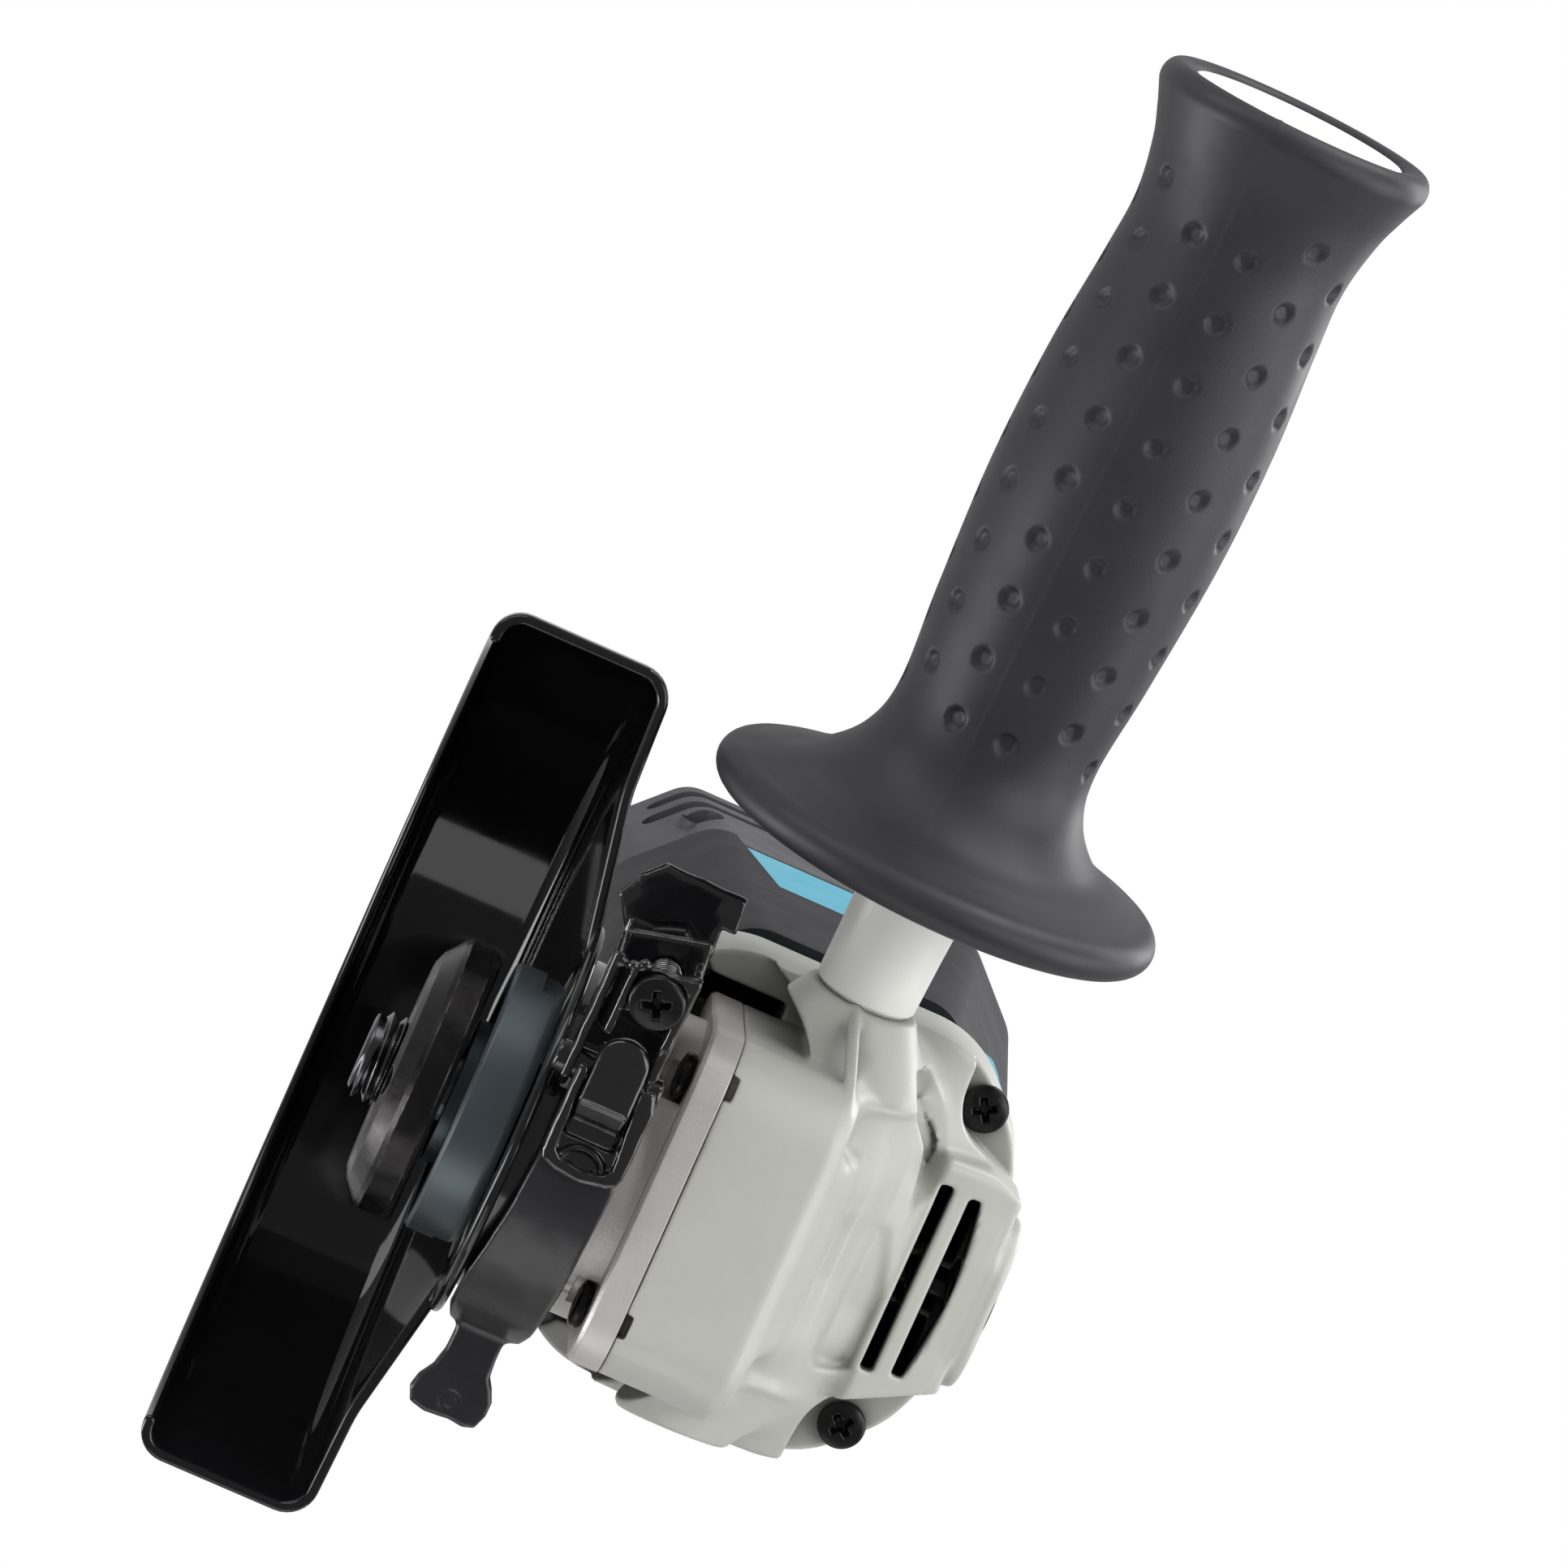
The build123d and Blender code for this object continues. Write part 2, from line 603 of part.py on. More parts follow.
def make_handle_stud():
    return HANDLE * chamfer(rod(stud_r, -stud_depth + 1, 23).edges(), 0.6)


# Guard and its clamp

def polar(radius, azimuth):
    return radius * cos(radians(azimuth)), radius * sin(radians(azimuth))


def sector(radius, start, end, low, high):
    """A wedge about the spindle axis between two azimuths, to cut arcs out of rings."""
    steps = 8
    points = [(0, 0)] + [polar(radius, start + (end - start) * k / steps) for k in range(steps + 1)]
    return extrude(Plane.XY.offset(low) * Polygon(*points, align=None), high - low)


def make_guard_shell():
    """Half-round guard: curled rim, skirt, rounded bend and rising plate, with a ring at the collar."""
    inner_r = collar_inner_r + collar_sheet + FIT
    t = guard_sheet
    lip_r = guard_r - guard_lip
    rise_r, rise_z, ring_z = 34.0, 9.0, 9.9
    sheet = Polygon((lip_r, guard_rim_z), (guard_r, guard_rim_z), (guard_r, guard_plate_z), (rise_r, rise_z),
                    (inner_r, ring_z), (inner_r, ring_z - t), (rise_r, rise_z - t),
                    (guard_r - t, guard_plate_z - t), (guard_r - t, guard_rim_z + t),
                    (lip_r, guard_rim_z + t), align=None)
    bends = [((guard_r, guard_plate_z), guard_bend_r), ((guard_r - t, guard_plate_z - t), guard_bend_r - t),
             ((guard_r, guard_rim_z), guard_lip_r), ((guard_r - t, guard_rim_z + t), guard_lip_r - t)]
    for corner, radius in bends:
        sheet = fillet(sheet.vertices().sort_by_distance((*corner, 0))[0], radius)
    half = revolve(Plane.YZ * sheet, Axis.Z, 180)
    return half + ring(30.0, inner_r, t, ring_z - t)


def make_collar_band():
    """Band that grips the bearing box neck, split above its closed lower edge."""
    outer_r = collar_inner_r + collar_sheet
    band = ring(outer_r, collar_inner_r, collar_top_z - collar_bottom_z, collar_bottom_z)
    return band - sector(40, collar_gap_start, collar_gap_end, collar_bottom_z + 2.8, 30)


def rounded_plate(length, height, thickness, radius):
    return extrude(RectangleRounded(length, height, radius), thickness)


def make_anchor_bracket():
    """Bent bracket on the band's handle side: a saddle on the band and a plate facing the nose."""
    saddle_r = collar_inner_r + collar_sheet
    saddle = ring(saddle_r + 2.2, saddle_r + FIT, 11.2, 12.0) & sector(60, -118, -60, 0, 40)
    width = 20.4
    seat = Plane(origin=(bracket_x, -44.0 + width / 2, 19.4), x_dir=(0, 1, 0), z_dir=(1, 0, 0))
    bracket = saddle + seat * rounded_plate(width, 12.4, bracket_sheet, 1.0)
    return bracket - CLAMP_SCREW * rod(clamp_screw_r + GAP, 5, 40)


def make_link_channel():
    """U-channel in front of the band: a base with the screw's seat and two cheeks for the pin."""
    x, y = lever_pivot
    t = 1.7
    low, high = lever_bottom_z - GAP - t, lever_top_z + GAP
    base_y = -30.4
    seat = Plane(origin=(channel_front_x - t, base_y, (low + high + t) / 2), x_dir=(0, 1, 0), z_dir=(1, 0, 0))
    base = seat * rounded_plate(16.0, high + t - low, t, 1.0)
    block = Pos(channel_front_x - 5, base_y) * Rectangle(10, 16)
    cheek = make_hull((Pos(x, y) * Circle(4.6)).edges() + block.edges())
    channel = base
    for z in (low, high):
        channel += extrude(Plane.XY.offset(z) * cheek, t)
        channel -= rod_at(x, y, lever_pin_r + FIT, z - 1, z + t + 1)
    return channel - CLAMP_SCREW * rod(clamp_screw_r + GAP, 20, 60)


def make_clamp_screw():
    head = Pos(0, 0, channel_front_x) * pan_head(4.4, 2.8)
    return CLAMP_SCREW * (head + rod(clamp_screw_r, 9.0, channel_front_x + 0.1))


def make_clamp_nut():
    nut = extrude(RegularPolygon(4.4, 6), 3.6) - Cylinder(clamp_screw_r + FIT, 12)
    return CLAMP_SCREW * (Pos(0, 0, bracket_x + bracket_sheet) * nut)


def make_lever_pin():
    x, y = lever_pivot
    pin = rod_at(x, y, lever_pin_r, lever_bottom_z - 3.2, lever_top_z + 3.2)
    return fillet(pin.edges().filter_by(GeomType.CIRCLE), 0.6)


def make_clamp_lever():
    """Over-centre lever: a pivot barrel, a strap that hugs the band, and a waisted finger tab."""
    x, y = lever_pivot
    height = lever_top_z - lever_bottom_z
    outer_r = lever_inner_r + lever_sheet
    strap = ring(outer_r, lever_inner_r, height, lever_bottom_z) & sector(60, -24, 64, 0, 40)
    middle_z = (lever_bottom_z + lever_top_z) / 2
    block = ring(outer_r + 3.0, lever_inner_r, height, lever_bottom_z) & sector(60, -23, 3, 0, 40)
    block -= ring(outer_r + 4.0, outer_r, 5.0, middle_z - 2.5) & sector(60, -14, 0, 0, 40)
    lever = strap + block + rod_at(x, y, 4.2, lever_bottom_z, lever_top_z)
    end_x, end_y = polar(lever_inner_r + lever_sheet / 2, 62)
    waist = Pos(5.5, 0) * Rectangle(13, 6.6)
    bone = Pos(11.0, 2.2) * Circle(4.0) + Pos(11.0, -2.2) * Circle(4.0) + Pos(4.0, 0) * Circle(3.9)
    tab_plane = Plane(origin=(end_x - 1.2, end_y, middle_z), x_dir=(0, 1, 0), z_dir=(1, 0, 0))
    lever += tab_plane * extrude(waist + bone, 2.4)
    return lever - rod_at(x, y, lever_pin_r + RUNNING, 0, 40)


def make_guard_rivets():
    """Two rivets that hold the anchor bracket's saddle on the band."""
    rivets = []
    for azimuth in (-108, -96):
        axis_x, axis_y = polar(1, azimuth)
        seat = collar_inner_r + collar_sheet + 2.2
        plane = Plane(origin=(axis_x * seat, axis_y * seat, 17.6), x_dir=(0, 0, 1), z_dir=(axis_x, axis_y, 0))
        rivets.append(plane * fillet(Cylinder(2.2, 1.3, align=UP).faces().sort_by(Axis.Z)[-1].edges(), 0.8))
    return Compound(children=rivets)


# Motor housing and rear grip

def barrel_section(share, grow, x):
    """The barrel's octagon part of the way along, grown by the same amount on all its sides."""
    def between(pair):
        return pair[0] + (pair[1] - pair[0]) * share

    corner = between(barrel_corner) + grow * (2 - sqrt(2))
    return (x, between(barrel_half_width) + grow, between(barrel_half_height) + grow, corner, barrel_round)


def barrel(grow, start, end):
    """The motor barrel's form between two places along X, grown outwards or inwards."""
    sections = []
    for x in (start, end):
        share = (x - barrel_front_x) / (barrel_rear_x - barrel_front_x)
        sections.append(barrel_section(share, grow, x))
    return body_loft(sections)


def screw_lugs(radius, start, end):
    """Round posts along the barrel's corners, on the axes of the housing screws."""
    return [Plane(origin=(0, y, z), x_dir=(0, 1, 0), z_dir=(1, 0, 0)) * rod(radius, start, end)
            for y, z in head_screw_points()]


def make_motor_housing():
    """Inner barrel: a thin wall with screw lugs, the stator's lands and the rear bearing's spider."""
    front_x = head_rear_x - FIT
    seat_r = rear_bearing["outer_r"] + FIT
    shell = barrel(0, front_x, barrel_rear_x) - barrel(-wall, head_rear_x + 1, barrel_rear_x + 3)
    shell += MOTOR * rod(seat_r + wall, rear_bearing["start"] - 1.5, barrel_rear_x + 3)
    shell -= MOTOR * rod(seat_r, rear_bearing["start"], -100)
    shell -= MOTOR * rod(rear_bearing["bore_r"] + 1.5, -140, -100)
    for k in range(6):
        shell -= MOTOR * (Rot(0, 0, 60 * k + 30) * Pos(22.5, 0, -140) * Cylinder(5.2, 30, align=UP))
    shell += MOTOR * ring(36, stator_r + FIT, 30, stator_rear_x + 5) & barrel(-wall + 0.2, -60, -120)
    for lug in screw_lugs(screw_lug_r, screw_lug_x, front_x):
        shell += lug
    for bore in screw_lugs(head_screw_r + FIT, screw_lug_x + 1, head_rear_x + 1):
        shell -= bore
    return shell


def make_barrel_skin():
    """Soft skin over the barrel, open in a window on each of its four sides."""
    front, rear = barrel_front_x - 2.2, barrel_rear_x + 2
    skin = barrel(skin_sheet, front, rear) - barrel(FIT, front + 1, rear - 1)
    window = Polygon((-88, -12), (-88, 12), (-128, 20), (-128, -20), align=None)
    reach = 40.0
    for side in (-1, 1):
        across = Plane(origin=(0, side * reach, motor_z), x_dir=(1, 0, 0), z_dir=(0, side, 0))
        above = Plane(origin=(0, 0, motor_z + side * reach), x_dir=(1, 0, 0), z_dir=(0, 0, side))
        for plane in (across, above):
            skin -= extrude(plane * window, 14, both=True)
    for lug in screw_lugs(screw_lug_r + GAP, screw_lug_x - GAP, head_rear_x):
        skin -= lug
    return skin


def rear_form(inset):
    """The rear grip from the barrel to the flared tail, as a solid, inset by a wall."""
    sections = [(-130.0, 36.0, 35.0), (-146.0, 33.5, 33.0), (-172.0, 27.4, 29.6), (-236.0, 26.4, 29.0),
                (-254.0, 27.0, 34.0), (-266.0, 27.6, 36.0), (tail_x, 25.6, 34.0)]
    return body_loft([(x, w - inset, h - inset, 12.0, 7.5) for x, w, h in sections])


def make_rear_shell(side):
    """One half of the rear grip, split on the mid plane, with the air inlets at the tail."""
    inside = rear_form(wall) & Pos(-200, 0, motor_z) * Box(2 * (-tail_x - 200 - wall), 100, 100)
    shell = rear_form(0) - inside
    shell &= Pos(-200, side * 50, motor_z) * Box(200, 100 - FIT, 100)
    shell -= MOTOR * rod(rear_bearing["outer_r"] + 3.2, -140, -120)
    for z in (-17, 17):
        for x in (-252, -260):
            slot = extrude(Plane(origin=(x, side * 27, motor_z + z), x_dir=(0, 0, 1), z_dir=(0, side, 0))
                           * SlotOverall(25, 4.0), 9, both=True)
            shell -= slot
    shell -= MOTOR * rod(gland_r + FIT, tail_x - 5, tail_x + 12)
    if side > 0:
        shell -= Pos(slider_x, 27, motor_z) * Box(slider_length + slider_travel * 2 + 4, 12, 9.0)
    for x in shell_screw_x:
        post = Plane(origin=(x, 0, motor_z - 20), x_dir=(1, 0, 0), z_dir=(0, side, 0))
        shell += post * rod(4.0, 0.01, 24)
        shell -= post * rod(shell_screw_r + FIT, -1, 12)
        if side < 0:
            shell -= post * rod(shell_screw_r + GAP, -1, 40)
            shell -= post * rod(3.8, 21.5, 40)
    return shell


def make_shell_screws():
    screws = []
    for x in shell_screw_x:
        place = Plane(origin=(x, -21.5, motor_z - 20), x_dir=(1, 0, 0), z_dir=(0, -1, 0))
        screws.append(place * (pan_head(3.4, 2.2) + rod(shell_screw_r, -33, 0.1)))
    return Compound(children=screws)


# Motor

def make_stator_core():
    core = MOTOR * ring(stator_r, stator_bore_r, stator_front_x - stator_rear_x, stator_rear_x)
    for side in (-1, 1):
        slot = Pos(0, side * coil_y, (stator_front_x + stator_rear_x) / 2) * Box(24, 6, 80)
        core -= MOTOR * slot
    return core


def make_field_windings():
    """Two coils, each a flat loop through the core's slots and over its ends."""
    coils = []
    length = stator_front_x - stator_rear_x + 2 * 5.0
    for side in (-1, 1):
        coil = Pos(0, side * coil_y, (stator_front_x + stator_rear_x) / 2) * Box(23.4, 5.4, length)
        for end in (stator_front_x, stator_rear_x - 4.6):
            turns = ring(26.6, 18.6, 4.6, end) & Pos(0, side * 30, 0) * Box(40, 40, 400)
            coil += turns
        coils.append(MOTOR * coil)
    return Compound(children=coils)


def make_armature_shaft():
    x = front_bearing["start"]
    points = [(0, -136), (rear_bearing["bore_r"], -136), (rear_bearing["bore_r"], rear_bearing["start"] + 7),
              (5.5, rear_bearing["start"] + 7), (5.5, x - 1), (front_bearing["bore_r"], x - 1),
              (front_bearing["bore_r"], -27 - FIT), (2.5, -27 - FIT), (2.5, -15.4), (0, -15.4)]
    return MOTOR * turned(points)


def make_armature_core():
    core = ring(rotor_r, 5.5 + FIT, stator_front_x - stator_rear_x, stator_rear_x)
    for k in range(12):
        slot = Rot(0, 0, 30 * k) * Pos(rotor_r - 2.6, 0, (stator_front_x + stator_rear_x) / 2)
        core -= slot * Box(6.4, 2.4, 60)
    return MOTOR * core


def make_armature_windings():
    """End turns either side of the armature core."""
    front = turned([(6.0, stator_front_x), (15.6, stator_front_x), (14.0, -53.5), (8.0, -52.5), (6.0, -54)])
    rear = turned([(6.0, stator_rear_x), (6.0, -105), (10.0, -106.5), (15.0, -104), (15.8, stator_rear_x)])
    return MOTOR * Compound(children=[front, rear])


def make_commutator():
    drum = ring(commutator_r, 5.5 + FIT, commutator_front_x - commutator_rear_x, commutator_rear_x)
    for k in range(24):
        place = Rot(0, 0, 15 * k) * Pos(commutator_r, 0, (commutator_front_x + commutator_rear_x) / 2)
        drum -= place * Box(1.4, 0.5, 20)
    return MOTOR * drum


def make_fan():
    """Radial fan: a hub, a back plate and curved blades towards the gear housing."""
    hub = ring(10.0, 5.5 + FIT, fan_front_x - fan_rear_x, fan_rear_x)
    plate = ring(fan_r, 9.0, 1.6, fan_rear_x)
    fan = hub + plate
    for k in range(11):
        arc = RadiusArc((9.5, 0), (fan_r - 0.3, -7), 22)
        blade = extrude(trace(arc, 1.3), fan_front_x - fan_rear_x - 0.6)
        fan += Rot(0, 0, 360 * k / 11) * Pos(0, 0, fan_rear_x + 0.2) * blade
    return MOTOR * (fan & rod(fan_r, fan_rear_x, fan_front_x))


def make_fan_baffle():
    return MOTOR * turned([(stator_r, -50.2), (stator_r, -56.0), (27.8, -56.0), (27.6, -52.0), (21.0, -51.6),
                           (21.0, -50.2)])


def make_brush_holders():
    """Two box holders that point at the commutator, open along their length for the brush."""
    tube = Box(10.4, 8.0, 15) - Box(8.0 + 2 * RUNNING, 5.4 + 2 * RUNNING, 20)
    x = (commutator_front_x + commutator_rear_x) / 2
    places = [Plane(origin=(x, side * 20.5, motor_z), x_dir=(1, 0, 0), z_dir=(0, side, 0))
              for side in (-1, 1)]
    return Compound(children=[place * tube for place in places])


def make_brushes():
    x = (commutator_front_x + commutator_rear_x) / 2
    face = MOTOR * rod(commutator_r + RUNNING, -140, -100)
    blocks = [Pos(x, side * 14.8, motor_z) * Box(8.0, 9.6, 5.4) - face for side in (-1, 1)]
    return Compound(children=blocks)


def make_brush_springs():
    """Flat clock springs behind the brushes, as plain coils."""
    x = (commutator_front_x + commutator_rear_x) / 2
    coil = Cylinder(2.2, 4.4) - Cylinder(1.2, 6)
    return Compound(children=[Pos(x, side * 22.6, motor_z) * coil for side in (-1, 1)])


# Switch and cord inlet

def make_switch_body():
    """Snap switch with its four blade terminals at the back."""
    body = fillet((Pos(-218, 4, motor_z) * Box(28, 15, 22)).edges().filter_by(Axis.X), 1.2)
    for y in (0, 8):
        for z in (-6, 6):
            body += Pos(-234.5, y, motor_z + z) * Box(5.2, 0.8, 4.8)
    return body


def make_switch_slider():
    """Slide button proud of the grip, with its foot inside the shell."""
    pad = Pos(slider_x, 28.6, motor_z) * Box(slider_length, 5.0, 8.4)
    pad = fillet(pad.faces().sort_by(Axis.Y)[-1].edges(), 1.4)
    foot = Pos(slider_x, 23.2, motor_z) * Box(slider_length + 4, 2.0, 12)
    neck = Pos(slider_x, 25.2, motor_z) * Box(slider_length - 2, 5.0, 8.0)
    for k in range(5):
        pad -= Pos(slider_x + (k - 2) * 3.6, 31.2, motor_z) * Box(1.2, 1.2, 10)
    return pad + foot + neck


def make_switch_rod():
    """Flat link from the slider's foot back to the switch."""
    bar = Pos(-203, 23.2 - 2.0 - FIT, motor_z) * Box(34, 2.0, 6)
    tip = Pos(-214, 17.0, motor_z) * Box(4, 6.8, 6)
    return bar + tip


def make_cord_gland():
    """Rubber bush in the tail that the cord would enter through."""
    bush = ring(gland_r, cord_r, 16, tail_x - 4) + ring(gland_r + 2.4, cord_r, 3.0, tail_x - 4.0)
    return MOTOR * (bush + ring(gland_r + 1.6, cord_r, 2.4, tail_x + wall + 0.4))


def make_cord_clamp():
    """Saddle bar inside the tail that would hold the cord."""
    bar = Pos(-258, 0, motor_z - 9) * Box(7, 24, 4)
    bar -= Pos(-258, 0, motor_z - 1.5) * Rot(0, 90, 0) * Cylinder(cord_r + 2, 10)
    for side in (-1, 1):
        bar -= rod_at(-258, side * 9.2, shell_screw_r, motor_z - 15, motor_z)
    return bar


PARTS = {
    "spindle": make_spindle, "inner_flange": make_inner_flange, "lock_nut": make_lock_nut,
    "dust_ring": make_dust_ring, "crown_gear": make_crown_gear, "pinion": make_pinion,
    "bearing_box": make_bearing_box, "bearing_box_screws": make_box_screws,
    "upper_bearing": make_upper_bearing, "gear_housing": make_gear_housing,
    "gear_housing_screws": make_head_screws, "lock_button": make_lock_button,
    "lock_pin": make_lock_pin, "lock_spring": make_lock_spring,
    "handle_core": make_handle_core, "handle_grip": make_handle_grip, "handle_stud": make_handle_stud,
    "guard_shell": make_guard_shell, "collar_band": make_collar_band,
    "anchor_bracket": make_anchor_bracket, "link_channel": make_link_channel,
    "clamp_screw": make_clamp_screw, "clamp_nut": make_clamp_nut, "lever_pin": make_lever_pin,
    "clamp_lever": make_clamp_lever, "guard_rivets": make_guard_rivets,
    "motor_housing": make_motor_housing, "barrel_skin": make_barrel_skin,
    "rear_shell_screws": make_shell_screws, "stator_core": make_stator_core,
    "field_windings": make_field_windings, "armature_shaft": make_armature_shaft,
    "armature_core": make_armature_core, "armature_windings": make_armature_windings,
    "commutator": make_commutator, "fan": make_fan, "fan_baffle": make_fan_baffle,
    "brush_holders": make_brush_holders, "brushes": make_brushes, "brush_springs": make_brush_springs,
    "switch_body": make_switch_body, "switch_slider": make_switch_slider,
    "switch_rod": make_switch_rod, "cord_gland": make_cord_gland, "cord_clamp": make_cord_clamp,
}

for name, make in PARTS.items():
    save(name, make())
for name, side in (("rear_shell_right", -1), ("rear_shell_left", 1)):
    save(name, make_rear_shell(side))
for prefix, sizes, plane in (("lower_bearing", lower_bearing, Plane.XY),
                             ("front_bearing", front_bearing, MOTOR), ("rear_bearing", rear_bearing, MOTOR)):
    for piece, solid in zip(("outer", "inner", "balls"), ball_bearing(**sizes)):
        save(f"{prefix}_{piece}", plane * solid)
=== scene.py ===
"""Dresses the angle grinder's CAD model: finishes, cast and moulded detail, light and camera.

Shapes are written in millimetres in the CAD frame and made into meshes in metres. The origin is
on the spindle axis at the wheel seat, +Z runs up the spindle and +X out of the nose.
"""

import json
import math

import bmesh
import bpy
import numpy as np
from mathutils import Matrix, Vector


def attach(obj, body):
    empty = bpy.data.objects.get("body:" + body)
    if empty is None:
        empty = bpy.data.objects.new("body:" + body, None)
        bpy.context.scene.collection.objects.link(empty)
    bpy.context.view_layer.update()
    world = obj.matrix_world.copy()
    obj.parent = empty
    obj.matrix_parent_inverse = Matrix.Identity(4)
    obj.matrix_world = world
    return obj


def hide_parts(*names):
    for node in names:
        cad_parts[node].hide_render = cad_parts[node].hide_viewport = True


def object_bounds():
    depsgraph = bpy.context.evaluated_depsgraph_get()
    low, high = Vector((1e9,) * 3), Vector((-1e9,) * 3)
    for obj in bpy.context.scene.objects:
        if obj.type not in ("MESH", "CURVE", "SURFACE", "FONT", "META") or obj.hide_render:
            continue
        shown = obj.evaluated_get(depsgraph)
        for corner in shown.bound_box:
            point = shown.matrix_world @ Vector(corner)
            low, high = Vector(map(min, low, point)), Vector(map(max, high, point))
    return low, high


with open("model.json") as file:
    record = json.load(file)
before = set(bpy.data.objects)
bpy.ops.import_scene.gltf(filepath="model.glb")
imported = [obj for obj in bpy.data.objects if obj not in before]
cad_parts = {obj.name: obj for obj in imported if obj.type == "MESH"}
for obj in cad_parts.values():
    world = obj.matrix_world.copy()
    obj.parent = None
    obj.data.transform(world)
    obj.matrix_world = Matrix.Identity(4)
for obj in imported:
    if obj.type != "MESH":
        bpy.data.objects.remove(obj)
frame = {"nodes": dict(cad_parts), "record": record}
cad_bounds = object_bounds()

import openvdb
from mathutils import Matrix, Vector

MM = 0.001
nodes = frame["nodes"]


# Shader building

class Shader:
    """A material being built: its node tree, with short ways to add and link nodes."""

    def __init__(self, name):
        self.material = bpy.data.materials.new(name)
        self.material.use_nodes = True
        self.tree = self.material.node_tree
        self.principled = self.tree.nodes["Principled BSDF"]

    def add(self, kind, inputs=(), **settings):
        node = self.tree.nodes.new(kind)
        for key, value in settings.items():
            setattr(node, key, value)
        for key, value in dict(inputs).items():
            self.put(node.inputs[key], value)
        return node

    def put(self, socket, value):
        if isinstance(value, bpy.types.NodeSocket):
            self.tree.links.new(value, socket)
        else:
            socket.default_value = value

    def place(self):
        """The point being shaded, in metres in the CAD frame."""
        return self.add("ShaderNodeTexCoord").outputs["Object"]

    def noise(self, size, detail=3.0, stretch=(1, 1, 1), roughness=0.5):
        """Noise from 0 to 1 with features about size millimetres across."""
        mapped = self.add("ShaderNodeMapping", {"Vector": self.place(), "Scale": stretch})
        return self.add("ShaderNodeTexNoise", {
            "Vector": mapped.outputs["Vector"], "Scale": 1 / (size * MM),
            "Detail": detail, "Roughness": roughness}).outputs["Fac"]

    def ramp(self, value, low, high, to_low=0.0, to_high=1.0):
        return self.add("ShaderNodeMapRange", {
            "Value": value, "From Min": low, "From Max": high,
            "To Min": to_low, "To Max": to_high}).outputs["Result"]

    def mix(self, factor, first, second):
        node = self.add("ShaderNodeMix", data_type="RGBA")
        for socket, value in (("Factor", factor), (6, first), (7, second)):
            self.put(node.inputs[socket], value)
        return node.outputs[2]

    def math(self, operation, first, second=0.0):
        node = self.add("ShaderNodeMath", operation=operation)
        self.put(node.inputs[0], first)
        self.put(node.inputs[1], second)
        return node.outputs[0]

    def within(self, low, high):
        """1 inside a box given in millimetres, and 0 outside."""
        place = self.add("ShaderNodeSeparateXYZ", {"Vector": self.place()})
        inside = 1.0
        for axis, a, b in zip("XYZ", low, high):
            node = self.add("ShaderNodeMath", operation="COMPARE")
            for socket, value in zip(node.inputs, (place.outputs[axis], (a + b) / 2 * MM, (b - a) / 2 * MM)):
                self.put(socket, value)
            inside = self.math("MULTIPLY", node.outputs[0], inside)
        return inside

    def edges(self, radius):
        """1 on convex and concave edges within radius millimetres, and 0 on open faces."""
        rounded = self.add("ShaderNodeBevel", {"Radius": radius * MM}, samples=4).outputs["Normal"]
        true_normal = self.add("ShaderNodeNewGeometry").outputs["Normal"]
        facing = self.add("ShaderNodeVectorMath", operation="DOT_PRODUCT")
        self.put(facing.inputs[0], rounded)
        self.put(facing.inputs[1], true_normal)
        return self.ramp(facing.outputs["Value"], 0.995, 0.8)


def srgb(*levels):
    """Linear colour of 0 to 255 sRGB levels."""
    unit = [level / 255 for level in levels]
    return (*[u / 12.92 if u <= 0.04045 else ((u + 0.055) / 1.055) ** 2.4 for u in unit], 1.0)


def scaled(colour, by):
    return (*[min(c * by, 1.0) for c in colour[:3]], 1.0)


